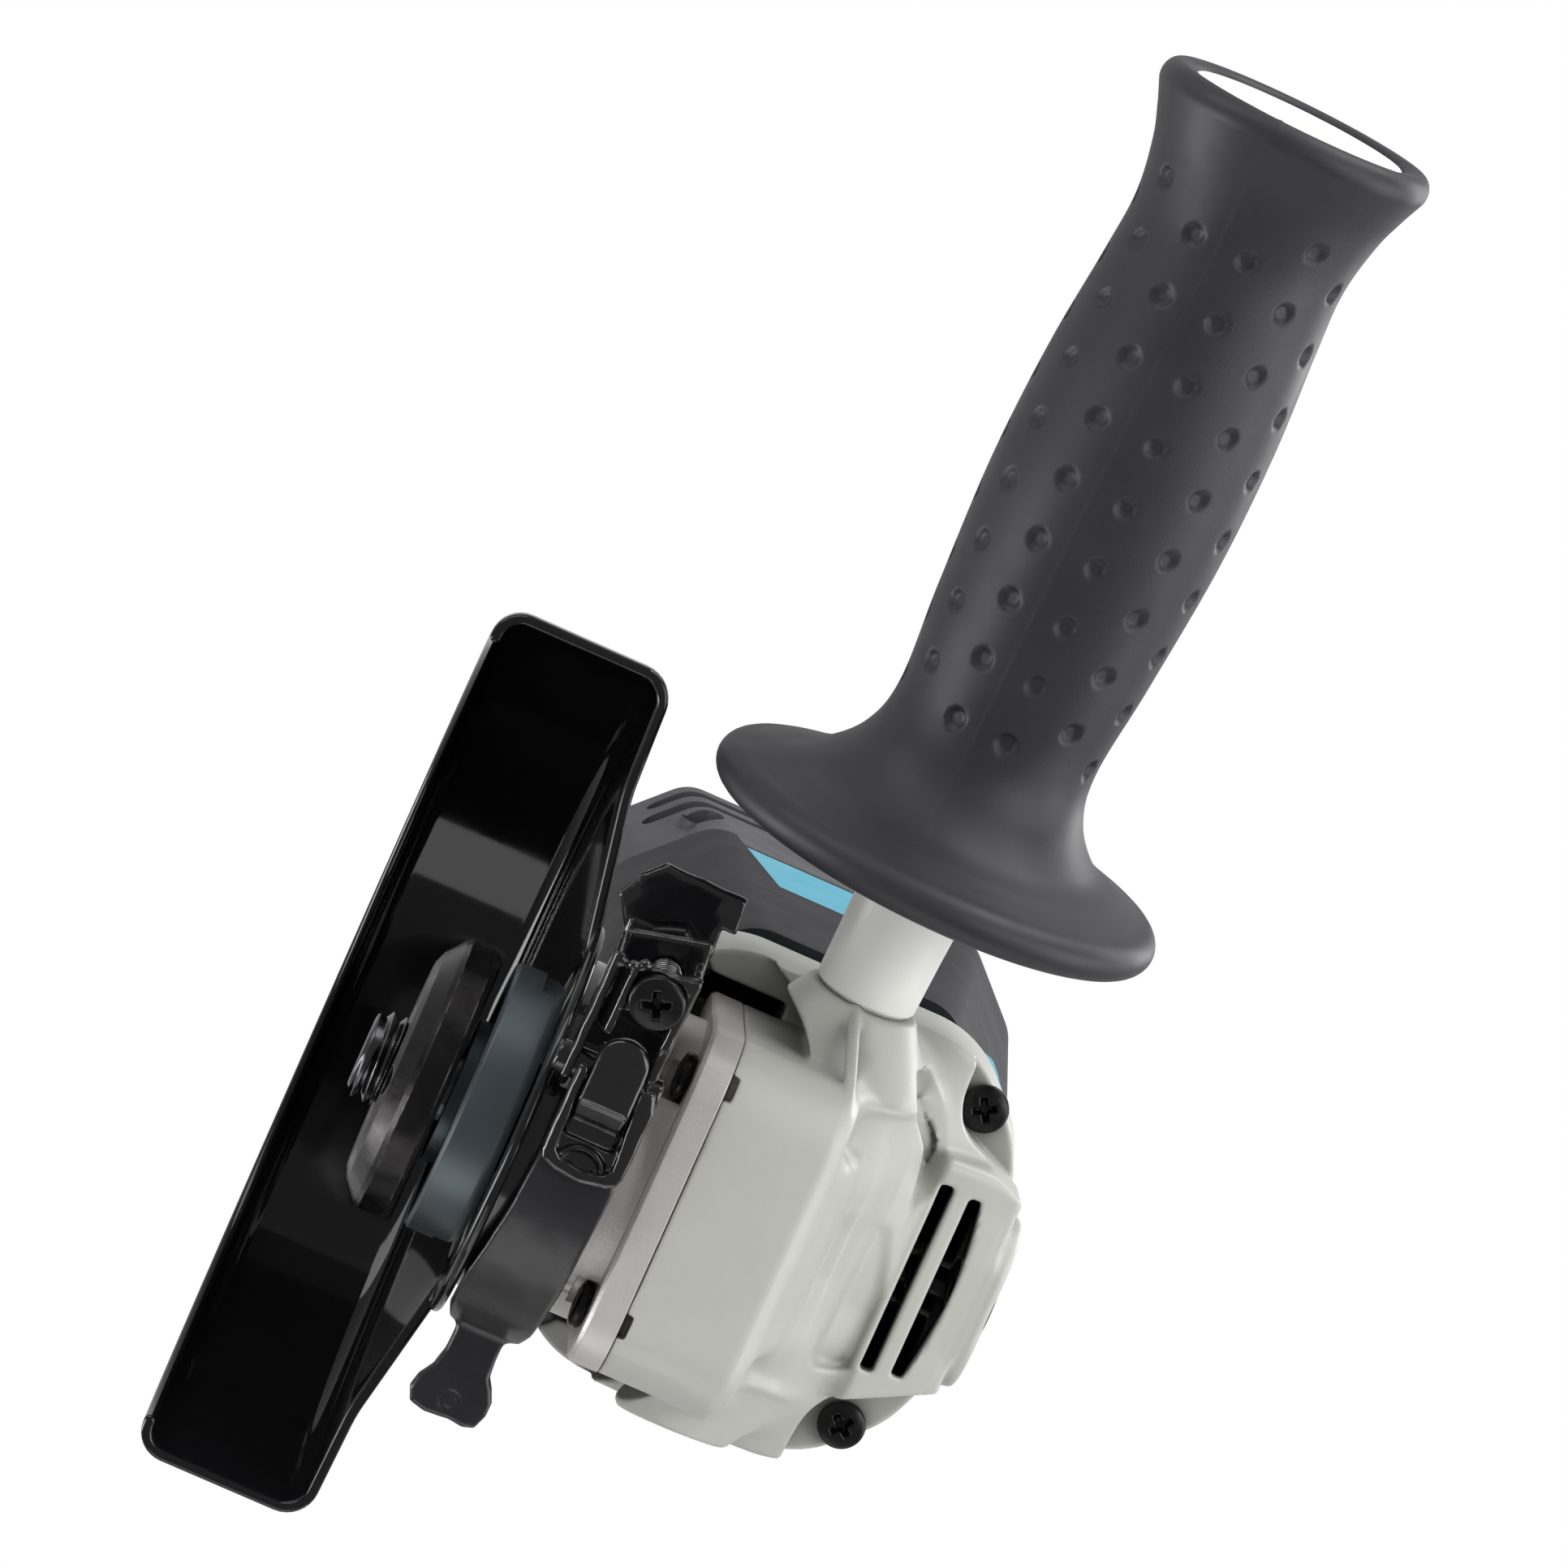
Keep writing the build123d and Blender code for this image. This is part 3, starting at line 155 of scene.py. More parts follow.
def finish(name, colour, roughness, metallic=0.0, grain=0.35, grain_depth=0.02, mottle=0.06, mottle_size=14.0,
           rough_swing=0.06, soften=0.0, wear=None, wear_amount=0.5, coat=0.0, coat_roughness=0.1,
           stretch=(1, 1, 1), specular=0.5, waves=0.0, wave_size=4.0, hollow=None, shade=0.0):
    """A surface with fine grain and slow colour and gloss changes.

    It may have worn edges (wear), rounded-looking edges (soften), a wavy coat (waves), near-black painted
    shade in a box-shaped hollow (hollow) and painted shade in corners and pockets (shade). Lengths are in
    millimetres.
    """
    s = Shader(name)
    p = s.principled
    slow = s.noise(mottle_size, detail=4.0)
    fine = s.noise(grain, detail=2.0, stretch=stretch)
    tone = s.mix(s.ramp(slow, 0.3, 0.7), scaled(colour, 1 - mottle), scaled(colour, 1 + mottle))
    tone = s.mix(s.ramp(fine, 0.35, 0.65, 0.0, 0.25), tone, scaled(colour, 1 - 1.6 * mottle))
    if wear is not None:
        broken = s.math("MULTIPLY", s.edges(0.35), s.ramp(s.noise(2.2, detail=5.0), 0.42, 0.6))
        tone = s.mix(s.math("MULTIPLY", broken, wear_amount), tone, wear)
    if shade:
        # Painted shade: corners and pockets are painted a little darker than open faces, by how enclosed they
        # are
        open_sky = s.add("ShaderNodeAmbientOcclusion", {"Distance": shade * MM}, samples=6).outputs["AO"]
        tone = s.mix(s.ramp(open_sky, 0.15, 0.95), scaled(colour, 0.3), tone)
    # Painted shade: inside the hollow box the colour is near black, as the unlit inside would look
    if hollow is not None:
        tone = s.mix(s.within(*hollow), tone, scaled(colour, 0.03))
    s.put(p.inputs["Base Color"], tone)
    smudge = s.math("MULTIPLY", s.noise(mottle_size * 0.6, detail=5.0), s.ramp(fine, 0.2, 0.8, 0.85, 1.15))
    smoothest, roughest = max(roughness - rough_swing, 0.02), roughness + rough_swing
    s.put(p.inputs["Roughness"], s.ramp(smudge, 0.3, 0.7, smoothest, roughest))
    p.inputs["Metallic"].default_value = metallic
    p.inputs["Specular IOR Level"].default_value = specular
    p.inputs["Coat Weight"].default_value = coat
    p.inputs["Coat Roughness"].default_value = coat_roughness
    bump = s.add("ShaderNodeBump", {"Height": fine, "Distance": grain_depth * MM, "Strength": 1.0})
    if soften:
        rounded = s.add("ShaderNodeBevel", {"Radius": soften * MM}, samples=6)
        s.put(bump.inputs["Normal"], rounded.outputs["Normal"])
    normal = bump.outputs["Normal"]
    if waves:
        ripple = s.add("ShaderNodeBump", {"Height": s.noise(wave_size, detail=1.5),
                                          "Distance": waves * MM, "Strength": 1.0, "Normal": normal})
        normal = ripple.outputs["Normal"]
    s.put(p.inputs["Normal"], normal)
    return s.material


STEEL_EDGE = srgb(190, 188, 184)

finishes = {
    # The cast paint has painted shade: darker corners and pockets, and near black in the air chamber behind the
    # vents
    "cast_paint": finish("cast_paint", srgb(190, 190, 184), 0.4, grain=0.9, grain_depth=0.01, mottle=0.025,
                         soften=0.3, waves=0.015, wave_size=8.0, coat=0.1, coat_roughness=0.25,
                         hollow=((-37, -16.5, 66), (-6.4, 16.5, 78)), shade=11.0),
    "blasted_aluminium": finish("blasted_aluminium", srgb(204, 201, 197), 0.4, metallic=0.35, grain=0.34,
                                grain_depth=0.06, mottle=0.09, soften=0.3, wear=srgb(232, 230, 226)),
    "guard_black": finish("guard_black", srgb(22, 22, 24), 0.07, grain=0.5, grain_depth=0.001, mottle=0.12,
                          rough_swing=0.02, soften=0.3, waves=0.006, wave_size=5.0, specular=0.35, coat=0.2,
                          coat_roughness=0.04),
    "clamp_black": finish("clamp_black", srgb(22, 22, 24), 0.18, grain=0.5, grain_depth=0.001, mottle=0.15,
                          rough_swing=0.03, soften=0.2, waves=0.02, wave_size=2.4, specular=0.4, coat=0.6,
                          coat_roughness=0.03),
    "lever_grey": finish("lever_grey", srgb(35, 35, 38), 0.3, grain=0.4, grain_depth=0.006, mottle=0.12,
                         rough_swing=0.07, soften=0.3, waves=0.03, wave_size=3.0, specular=0.4, coat=0.15,
                         coat_roughness=0.2),
    "black_oxide": finish("black_oxide", srgb(36, 34, 36), 0.3, metallic=0.7, grain=0.25, grain_depth=0.008,
                          mottle=0.15, mottle_size=4.0, rough_swing=0.1, soften=0.12, wear=srgb(120, 118, 116)),
    "bright_steel": finish("bright_steel", srgb(190, 188, 184), 0.24, metallic=1.0, grain=0.2,
                           grain_depth=0.006, mottle=0.08, mottle_size=5.0, rough_swing=0.08, soften=0.1),
    "gear_steel": finish("gear_steel", srgb(150, 150, 150), 0.3, metallic=1.0, grain=0.3, grain_depth=0.006,
                         mottle=0.1, soften=0.1),
    "blued_steel": finish("blued_steel", srgb(84, 92, 98), 0.36, metallic=0.6, grain=0.25, grain_depth=0.004,
                          mottle=0.06, mottle_size=12.0, rough_swing=0.05, soften=0.3, wear=STEEL_EDGE,
                          wear_amount=0.15),
    "thread_steel": finish("thread_steel", srgb(88, 88, 90), 0.22, metallic=0.95, grain=0.2, grain_depth=0.006,
                           mottle=0.12, mottle_size=4.0, rough_swing=0.08, soften=0.1, wear=srgb(225, 225, 222),
                           wear_amount=1.0),
    "nut_steel": finish("nut_steel", srgb(40, 38, 38), 0.3, metallic=0.8, grain=0.3, grain_depth=0.008,
                        mottle=0.2, mottle_size=6.0, rough_swing=0.1, soften=0.2, wear=srgb(215, 212, 206)),
    "bearing_steel": finish("bearing_steel", srgb(190, 190, 190), 0.16, metallic=1.0, grain=0.2,
                            grain_depth=0.002, mottle=0.05),
    "teal_plastic": finish("teal_plastic", srgb(60, 160, 185), 0.36, grain=0.5, grain_depth=0.01, mottle=0.04,
                           soften=0.3),
    "dark_rubber": finish("dark_rubber", srgb(43, 43, 47), 0.48, grain=0.35, grain_depth=0.02, mottle=0.07,
                          rough_swing=0.05, specular=0.35),
    "skin_rubber": finish("skin_rubber", srgb(34, 34, 38), 0.55, grain=0.35, grain_depth=0.015, mottle=0.05,
                          rough_swing=0.04, specular=0.2),
    "dark_plastic": finish("dark_plastic", srgb(66, 66, 70), 0.45, grain=0.45, grain_depth=0.015, mottle=0.06,
                           soften=0.3, specular=0.4),
    "inner_plastic": finish("inner_plastic", srgb(38, 38, 40), 0.5, grain=0.45, grain_depth=0.02, mottle=0.08),
    "white_plastic": finish("white_plastic", srgb(240, 240, 235), 0.36, grain=0.6, grain_depth=0.006,
                            mottle=0.015, soften=0.2),
    "lamination_steel": finish("lamination_steel", srgb(120, 120, 122), 0.45, metallic=0.9, grain=0.25,
                               grain_depth=0.05, mottle=0.1, stretch=(4, 0.3, 0.3)),
    "copper": finish("copper", srgb(190, 110, 60), 0.35, metallic=0.9, grain=0.5, grain_depth=0.08, mottle=0.15,
                     stretch=(0.4, 3, 3)),
    "brass": finish("brass", srgb(200, 168, 95), 0.3, metallic=1.0, grain=0.3, grain_depth=0.005, mottle=0.1),
    "carbon": finish("carbon", srgb(42, 42, 44), 0.6, grain=0.3, grain_depth=0.03, mottle=0.15),
}


def linked(name, data):
    """A new object in the scene."""
    obj = bpy.data.objects.new(name, data)
    bpy.context.scene.collection.objects.link(obj)
    return obj


def dress(material, *names):
    """Gives CAD nodes a finish."""
    for name in names:
        mesh = nodes[name].data
        mesh.materials.clear()
        mesh.materials.append(finishes[material])


for part in frame["record"]["subparts"]:
    dress(part["material_slot"], part["node"])
dress("clamp_black", "collar_band", "guard_rivets", "lever_pin")
dress("nut_steel", "lock_nut")
dress("skin_rubber", "barrel_skin")
dress("black_oxide", "lock_spring", "lock_pin")
dress("inner_plastic", "switch_rod", "switch_body", "fan_baffle", "fan", "cord_clamp")


# Solids as fields: each is the distance to a surface, in millimetres, and below 0 inside

def cells(low, high, step):
    """x, y and z of every cell of a box, as arrays that broadcast together."""
    axes = [np.arange(a, b + step, step, dtype=np.float32) for a, b in zip(low, high)]
    return np.meshgrid(*axes, indexing="ij", sparse=True)


def join(first, second, blend=0.0):
    """Both solids together, with a fillet about blend wide where they meet."""
    if blend <= 0:
        return np.minimum(first, second)
    share = np.clip(0.5 + 0.5 * (second - first) / blend, 0, 1)
    return second + share * (first - second) - blend * share * (1 - share)


def meet(first, second, blend=0.0):
    """What two solids share."""
    return -join(-first, -second, blend)


def cut(first, second, blend=0.0):
    """The first solid without the second."""
    return -join(-first, second, blend)


def capped(side, along, radius=0.0):
    """The solid where both distances are below 0, with its edge rounded."""
    u, v = side + radius, along + radius
    return np.hypot(np.maximum(u, 0), np.maximum(v, 0)) + np.minimum(np.maximum(u, v), 0) - radius


def slab(value, low, high):
    return np.abs(value - (low + high) / 2) - (high - low) / 2


def block(p, low, high, radius=0.0):
    q = [slab(v, a, b) + radius for v, a, b in zip(p, low, high)]
    outside = np.sqrt(sum(np.maximum(v, 0) ** 2 for v in q))
    return outside + np.minimum(np.maximum(np.maximum(q[0], q[1]), q[2]), 0) - radius


def rod(p, start, end, first_r, second_r=None, radius=0.0):
    """A cylinder or cone between two points."""
    second_r = first_r if second_r is None else second_r
    start, axis = np.array(start, float), np.array(end, float) - np.array(start, float)
    length = np.linalg.norm(axis)
    axis /= length
    q = [v - s for v, s in zip(p, start)]
    along = sum(v * a for v, a in zip(q, axis))
    away = np.sqrt(np.maximum(sum(v * v for v in q) - along * along, 0))
    slope = (second_r - first_r) / length
    side = (away - first_r - slope * along) / math.sqrt(1 + slope * slope)
    return capped(side, slab(along, 0, length), radius)


def rounded_rectangle(u, v, half_u, half_v, corner):
    a, b = np.abs(u) - half_u + corner, np.abs(v) - half_v + corner
    return np.hypot(np.maximum(a, 0), np.maximum(b, 0)) + np.minimum(np.maximum(a, b), 0) - corner


def octagon(u, v, half_u, half_v, corner, blend):
    """A section with flat sides and cut corners; the sizes may change along the body."""
    sides = meet(np.abs(u) - half_u, np.abs(v) - half_v, blend)
    corners = (np.abs(u) + np.abs(v) - half_u - half_v + corner) / math.sqrt(2)
    return meet(sides, corners, blend)


def polygon(u, v, points):
    """Distance to a closed outline."""
    nearest = np.full(np.broadcast(u, v).shape, 1e9, np.float32)
    inside = np.zeros(nearest.shape, bool)
    for (u0, v0), (u1, v1) in zip(points, points[1:] + points[:1]):
        du, dv = u1 - u0, v1 - v0
        share = np.clip(((u - u0) * du + (v - v0) * dv) / (du * du + dv * dv), 0, 1)
        nearest = np.minimum(nearest, (u - u0 - du * share) ** 2 + (v - v0 - dv * share) ** 2)
        if dv:
            crosses = ((v0 <= v) & (v < v1)) | ((v1 <= v) & (v < v0))
            inside ^= crosses & (u < u0 + du * (v - v0) / dv)
    return np.where(inside, -1, 1) * np.sqrt(nearest)


# Surfaces: points in millimetres and four-cornered faces, as arrays

def field_surface(field, low, step):
    """The surface where a field is 0."""
    grid = openvdb.FloatGrid(1e3)
    grid.copyFromArray(np.ascontiguousarray(field, dtype=np.float32))
    grid.transform = openvdb.createLinearTransform(voxelSize=step)
    points, quads = grid.convertToQuads(isovalue=0.0)
    return points + np.array(low), quads


def rounded_path(corners, steps=6):
    """A path through (u, v, radius) corners, with an arc of that radius at each but the ends."""
    path = [Vector(corners[0][:2])]
    for before, here, after in zip(corners, corners[1:], corners[2:]):
        corner = Vector(here[:2])
        inward = (corner - Vector(before[:2])).normalized()
        outward = (Vector(after[:2]) - corner).normalized()
        turn = math.atan2(inward.x * outward.y - inward.y * outward.x, inward.dot(outward))
        side = Vector((-inward.y, inward.x)) * math.copysign(1, turn)
        start = corner - inward * here[2] * math.tan(abs(turn) / 2)
        for k in range(steps + 1):
            angle = abs(turn) * k / steps
            path.append(start + here[2] * (inward * math.sin(angle) + side * (1 - math.cos(angle))))
    return path + [Vector(corners[-1][:2])]


def smooth_path(corners, spacing):
    """A curve through points, sampled about every spacing millimetres."""
    points = [Vector(corner) for corner in corners]
    padded = [2 * points[0] - points[1], *points, 2 * points[-1] - points[-2]]
    path = []
    for a, b, c, d in zip(padded, padded[1:], padded[2:], padded[3:]):
        count = max(round((c - b).length / spacing), 1)
        for k in range(count):
            t = k / count
            path.append(0.5 * (2 * b + (c - a) * t + (2 * a - 5 * b + 4 * c - d) * t ** 2
                               + (3 * b - a - 3 * c + d) * t ** 3))
    return path + [points[-1]]


def along_path(path):
    """Points, unit tangents and left-hand normals of a path, as arrays."""
    points = np.array([tuple(p) for p in path])
    tangents = np.gradient(points, axis=0)
    tangents /= np.linalg.norm(tangents, axis=1)[:, None]
    return points, tangents, np.stack([-tangents[:, 1], tangents[:, 0]], 1)


def grid_quads(rows, columns, wrap_rows=False):
    """Faces of a grid of points whose columns close on themselves."""
    row, column = np.meshgrid(np.arange(rows if wrap_rows else rows - 1), np.arange(columns), indexing="ij")
    below, beside = (row + 1) % rows, (column + 1) % columns
    row, below = row * columns, below * columns
    corners = [row + column, row + beside, below + beside, below + column]
    return np.stack([c.ravel() for c in corners], 1)


def pressed_sheet(path, half, start, end, count, edge=0.35):
    """A sheet of thickness 2 half turned about Z between two azimuths, with rounded edges."""
    points, tangents, normals = along_path(path)
    tips = [math.radians(a) for a in (15, 45, 75)]
    upper = [normals[0] * math.sin(a) - tangents[0] * math.cos(a) for a in tips] + list(normals)
    upper += [tangents[-1] * math.sin(a) + normals[-1] * math.cos(a) for a in tips]
    middle = np.concatenate([points[:1]] * 3 + [points] + [points[-1:]] * 3)
    across = np.concatenate([normals[:1]] * 3 + [normals] + [normals[-1:]] * 3)
    upper = np.array(upper)
    lower = upper - 2 * across * (upper * across).sum(1)[:, None]
    offsets = np.concatenate([upper, lower[::-1]])
    middle = np.concatenate([middle, middle[::-1]])
    bevel = [math.radians(90 * k / 4) for k in range(5)]
    turn = math.degrees(edge / points[:, 0].mean())
    rings = [(start + turn * (1 - math.cos(a)), half - edge * (1 - math.sin(a))) for a in bevel]
    rings += [(start + (end - start) * k / count, half) for k in range(1, count)]
    rings += [(end - turn * (1 - math.cos(a)), half - edge * (1 - math.sin(a))) for a in reversed(bevel)]
    layers = []
    for azimuth, reach in rings:
        section = middle + offsets * reach
        angle = math.radians(azimuth)
        radius, height = section.T
        layers.append(np.stack([radius * math.cos(angle), radius * math.sin(angle), height], 1))
    size = len(middle)
    j = np.arange(size // 2 - 1)
    first = np.stack([j + 1, j, size - 1 - j, size - 2 - j], 1)
    last = (len(rings) - 1) * size + first[:, ::-1]
    return np.concatenate(layers), np.concatenate([grid_quads(len(rings), size), first, last])


def lathe(path, count, relief=None, closed=False):
    """A (radius, height) path turned about Z; relief(azimuth, radius, height) is cut along its normal."""
    points, _, normals = along_path(path)
    azimuth = np.arange(count)[None, :] * 2 * math.pi / count
    radius, height = np.repeat(points[:, :1], count, 1), np.repeat(points[:, 1:], count, 1)
    if relief is not None:
        depth = relief(azimuth, radius, height)
        radius, height = radius + normals[:, :1] * depth, height + normals[:, 1:] * depth
    turned = np.stack([radius * np.cos(azimuth), radius * np.sin(azimuth), height], 2).reshape(-1, 3)
    return turned, grid_quads(len(points), count, closed)


def placed(surface, turn):
    """A surface carried from its own frame to the CAD frame."""
    matrix = np.array(turn)
    return np.asarray(surface[0]) @ matrix[:3, :3].T + matrix[:3, 3], surface[1]


def seat(origin, z, x=(1, 0, 0)):
    """The frame at a point with Z along one direction and X as near as can be to another."""
    z = Vector(z).normalized()
    x = (Vector(x) - z * z.dot(Vector(x))).normalized()
    return Matrix.Translation(origin) @ Matrix((x, z.cross(x), z)).transposed().to_4x4()


def piece(name, surfaces, material, body, *replaced, share=1.0):
    """One smooth-shaded mesh of some closed surfaces, carried by a body; share is what is kept of its faces."""
    points, faces, start = [], [], 0
    for corners, quads in surfaces:
        a, b, c, d = (corners[quads[:, k]] for k in range(4))
        volume = (a * (np.cross(b, c) + np.cross(c, d))).sum()
        faces.append((quads if volume > 0 else quads[:, ::-1]) + start)
        points.append(corners)
        start += len(corners)
    mesh = bpy.data.meshes.new(name)
    mesh.from_pydata((np.concatenate(points) * MM).tolist(), [], np.concatenate(faces).tolist())
    tidy = bmesh.new()
    tidy.from_mesh(mesh)
    bmesh.ops.remove_doubles(tidy, verts=tidy.verts, dist=1e-7)
    bmesh.ops.dissolve_degenerate(tidy, edges=tidy.edges, dist=1e-8)
    tidy.to_mesh(mesh)
    tidy.free()
    mesh.materials.append(finishes[material])
    obj = linked(name, mesh)
    if share < 1:
        thinning = obj.modifiers.new("thinning", "DECIMATE")
        thinning.ratio = share
        obj.data = bpy.data.meshes.new_from_object(obj.evaluated_get(bpy.context.evaluated_depsgraph_get()))
        obj.modifiers.clear()
    mesh = obj.data
    mesh.polygons.foreach_set("use_smooth", [True] * len(mesh.polygons))
    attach(obj, body)
    if replaced:
        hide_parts(*replaced)
    return obj


# Gear head

MOTOR_Z = 48.0
PLATE_HALF, PLATE_CORNER, PLATE_TOP = 26.4, 9.5, 33.4
HANDLE_LEAN = Vector((math.sin(math.radians(8)), -1, math.tan(math.radians(1.5)))).normalized()
SPARE_LEAN = Vector((HANDLE_LEAN.x, -HANDLE_LEAN.y, HANDLE_LEAN.z))
HANDLE_SEAT = Vector((-1.0, -36.6, MOTOR_Z))
SPARE_SEAT = Vector((-1.0, 33.2, MOTOR_Z))
SOCKETS = ((HANDLE_SEAT, HANDLE_LEAN), (SPARE_SEAT, SPARE_LEAN))
LOCK_X = -12.0
SCREW_Y, SCREW_Z, SCREW_X = 26.2, 25.0, -20.5
BOX_SCREW = 18.1
SOCKET_R = 4.02                                  # bore for the M8 handle stud
CASE_STEP = 0.4
CASE_SHARE = 0.72                                # of the casting's faces are kept


def between(x, start, first, end, second):
    """A size that changes evenly from first at start to second at end."""
    return first + (second - first) * np.clip((x - start) / (end - start), 0, 1)


def head_masses(x, y, z):
    """The casting before its openings: flange, shoulders, nose, square front, bosses and rib."""
    p = (x, y, z)
    bottom, top = between(x, -36, 14, -13, 15.5), between(x, -36, 82.4, -13, 81.2)
    rear = octagon(y, z - (bottom + top) / 2, between(x, -36, 34.5, -13, 34), (top - bottom) / 2, 13, 5)
    rear = capped(rear, slab(x, -36, -13), 1.2)
    bottom, top = between(x, -14, 30, 5, 35), between(x, -14, 78, 5, 61)
    shoulders = octagon(y, z - (bottom + top) / 2, between(x, -14, 33.4, 5, 30.5), (top - bottom) / 2, 12, 8)
    shoulders = meet(shoulders, slab(x, -16, 5), 8)

    steps = [(-20, PLATE_TOP + 2), (-20, 80.4), (-5.0, 80.4), (-1.0, 66.6), (0.6, 62.8), (3.0, 61.8),
             (8.0, 59.6), (9.5, 57.4), (15.5, 55.8), (19.5, 53.8), (23.4, 52.6), (24.6, 50.2),
             (24.6, PLATE_TOP + 2)]
    nose = meet(polygon(x, z, steps), np.abs(y) - between(x, 8, 15.5, 24, 18.0), 5.0)
    vent = polygon(x, z, [(-20, 58), (-20, 82.4), (-5.0, 82.4), (-1.6, 69.8), (-7.0, 58)])
    vent = meet(vent, np.abs(y) - 20.0, 2.0)

    square = rounded_rectangle(x, y, PLATE_HALF, PLATE_HALF, PLATE_CORNER)
    front = meet(square, slab(z, PLATE_TOP, 52.4), 0.5)
    front = meet(front, (square + z - 52.4 + 1.9) / math.sqrt(2), 0.6)

    masses = join(rear, shoulders, 5)
    masses = join(masses, nose, 5)
    masses = join(masses, front, 2.0)
    for root, lean in SOCKETS:
        boss = rod(p, root - lean * 11, root, 15, 8.5, 0.5)
        boss = join(boss, rod(p, root - lean * 26, root - lean * 10.7, 15), 1.5)
        masses = join(masses, boss, 5)
    # Cast rib from the foot of the handle's boss to the corner of the square front
    rib = [(4.5, -36.0, 46.9), (12.2, -31.6, 48.1), (18.6, -26.8, 49.6), (22.8, -22.4, 50.6)]
    for start, end in zip(rib, rib[1:]):
        masses = join(masses, rod(p, start, end, 0.95), 0.35)
    masses = join(masses, vent, 1.2)
    pad = rounded_rectangle(x + 15.3, y, 10.5, 13.5, 8.5)
    return join(masses, capped(pad, slab(z, 79, 84.8), 1.0), 1.0)


def screw_corner(y, z, side):
    """The open corner that an upper housing screw's head sits in."""
    out_y, out_z = (y - side * SCREW_Y) * side, z - MOTOR_Z - SCREW_Z
    inner = (-out_y - (4.6 if side < 0 else 8.2) - 0.45 * out_z) / math.hypot(1, 0.45)
    return meet(inner, -out_z - (4.4 if side < 0 else 7.0), 5.0)


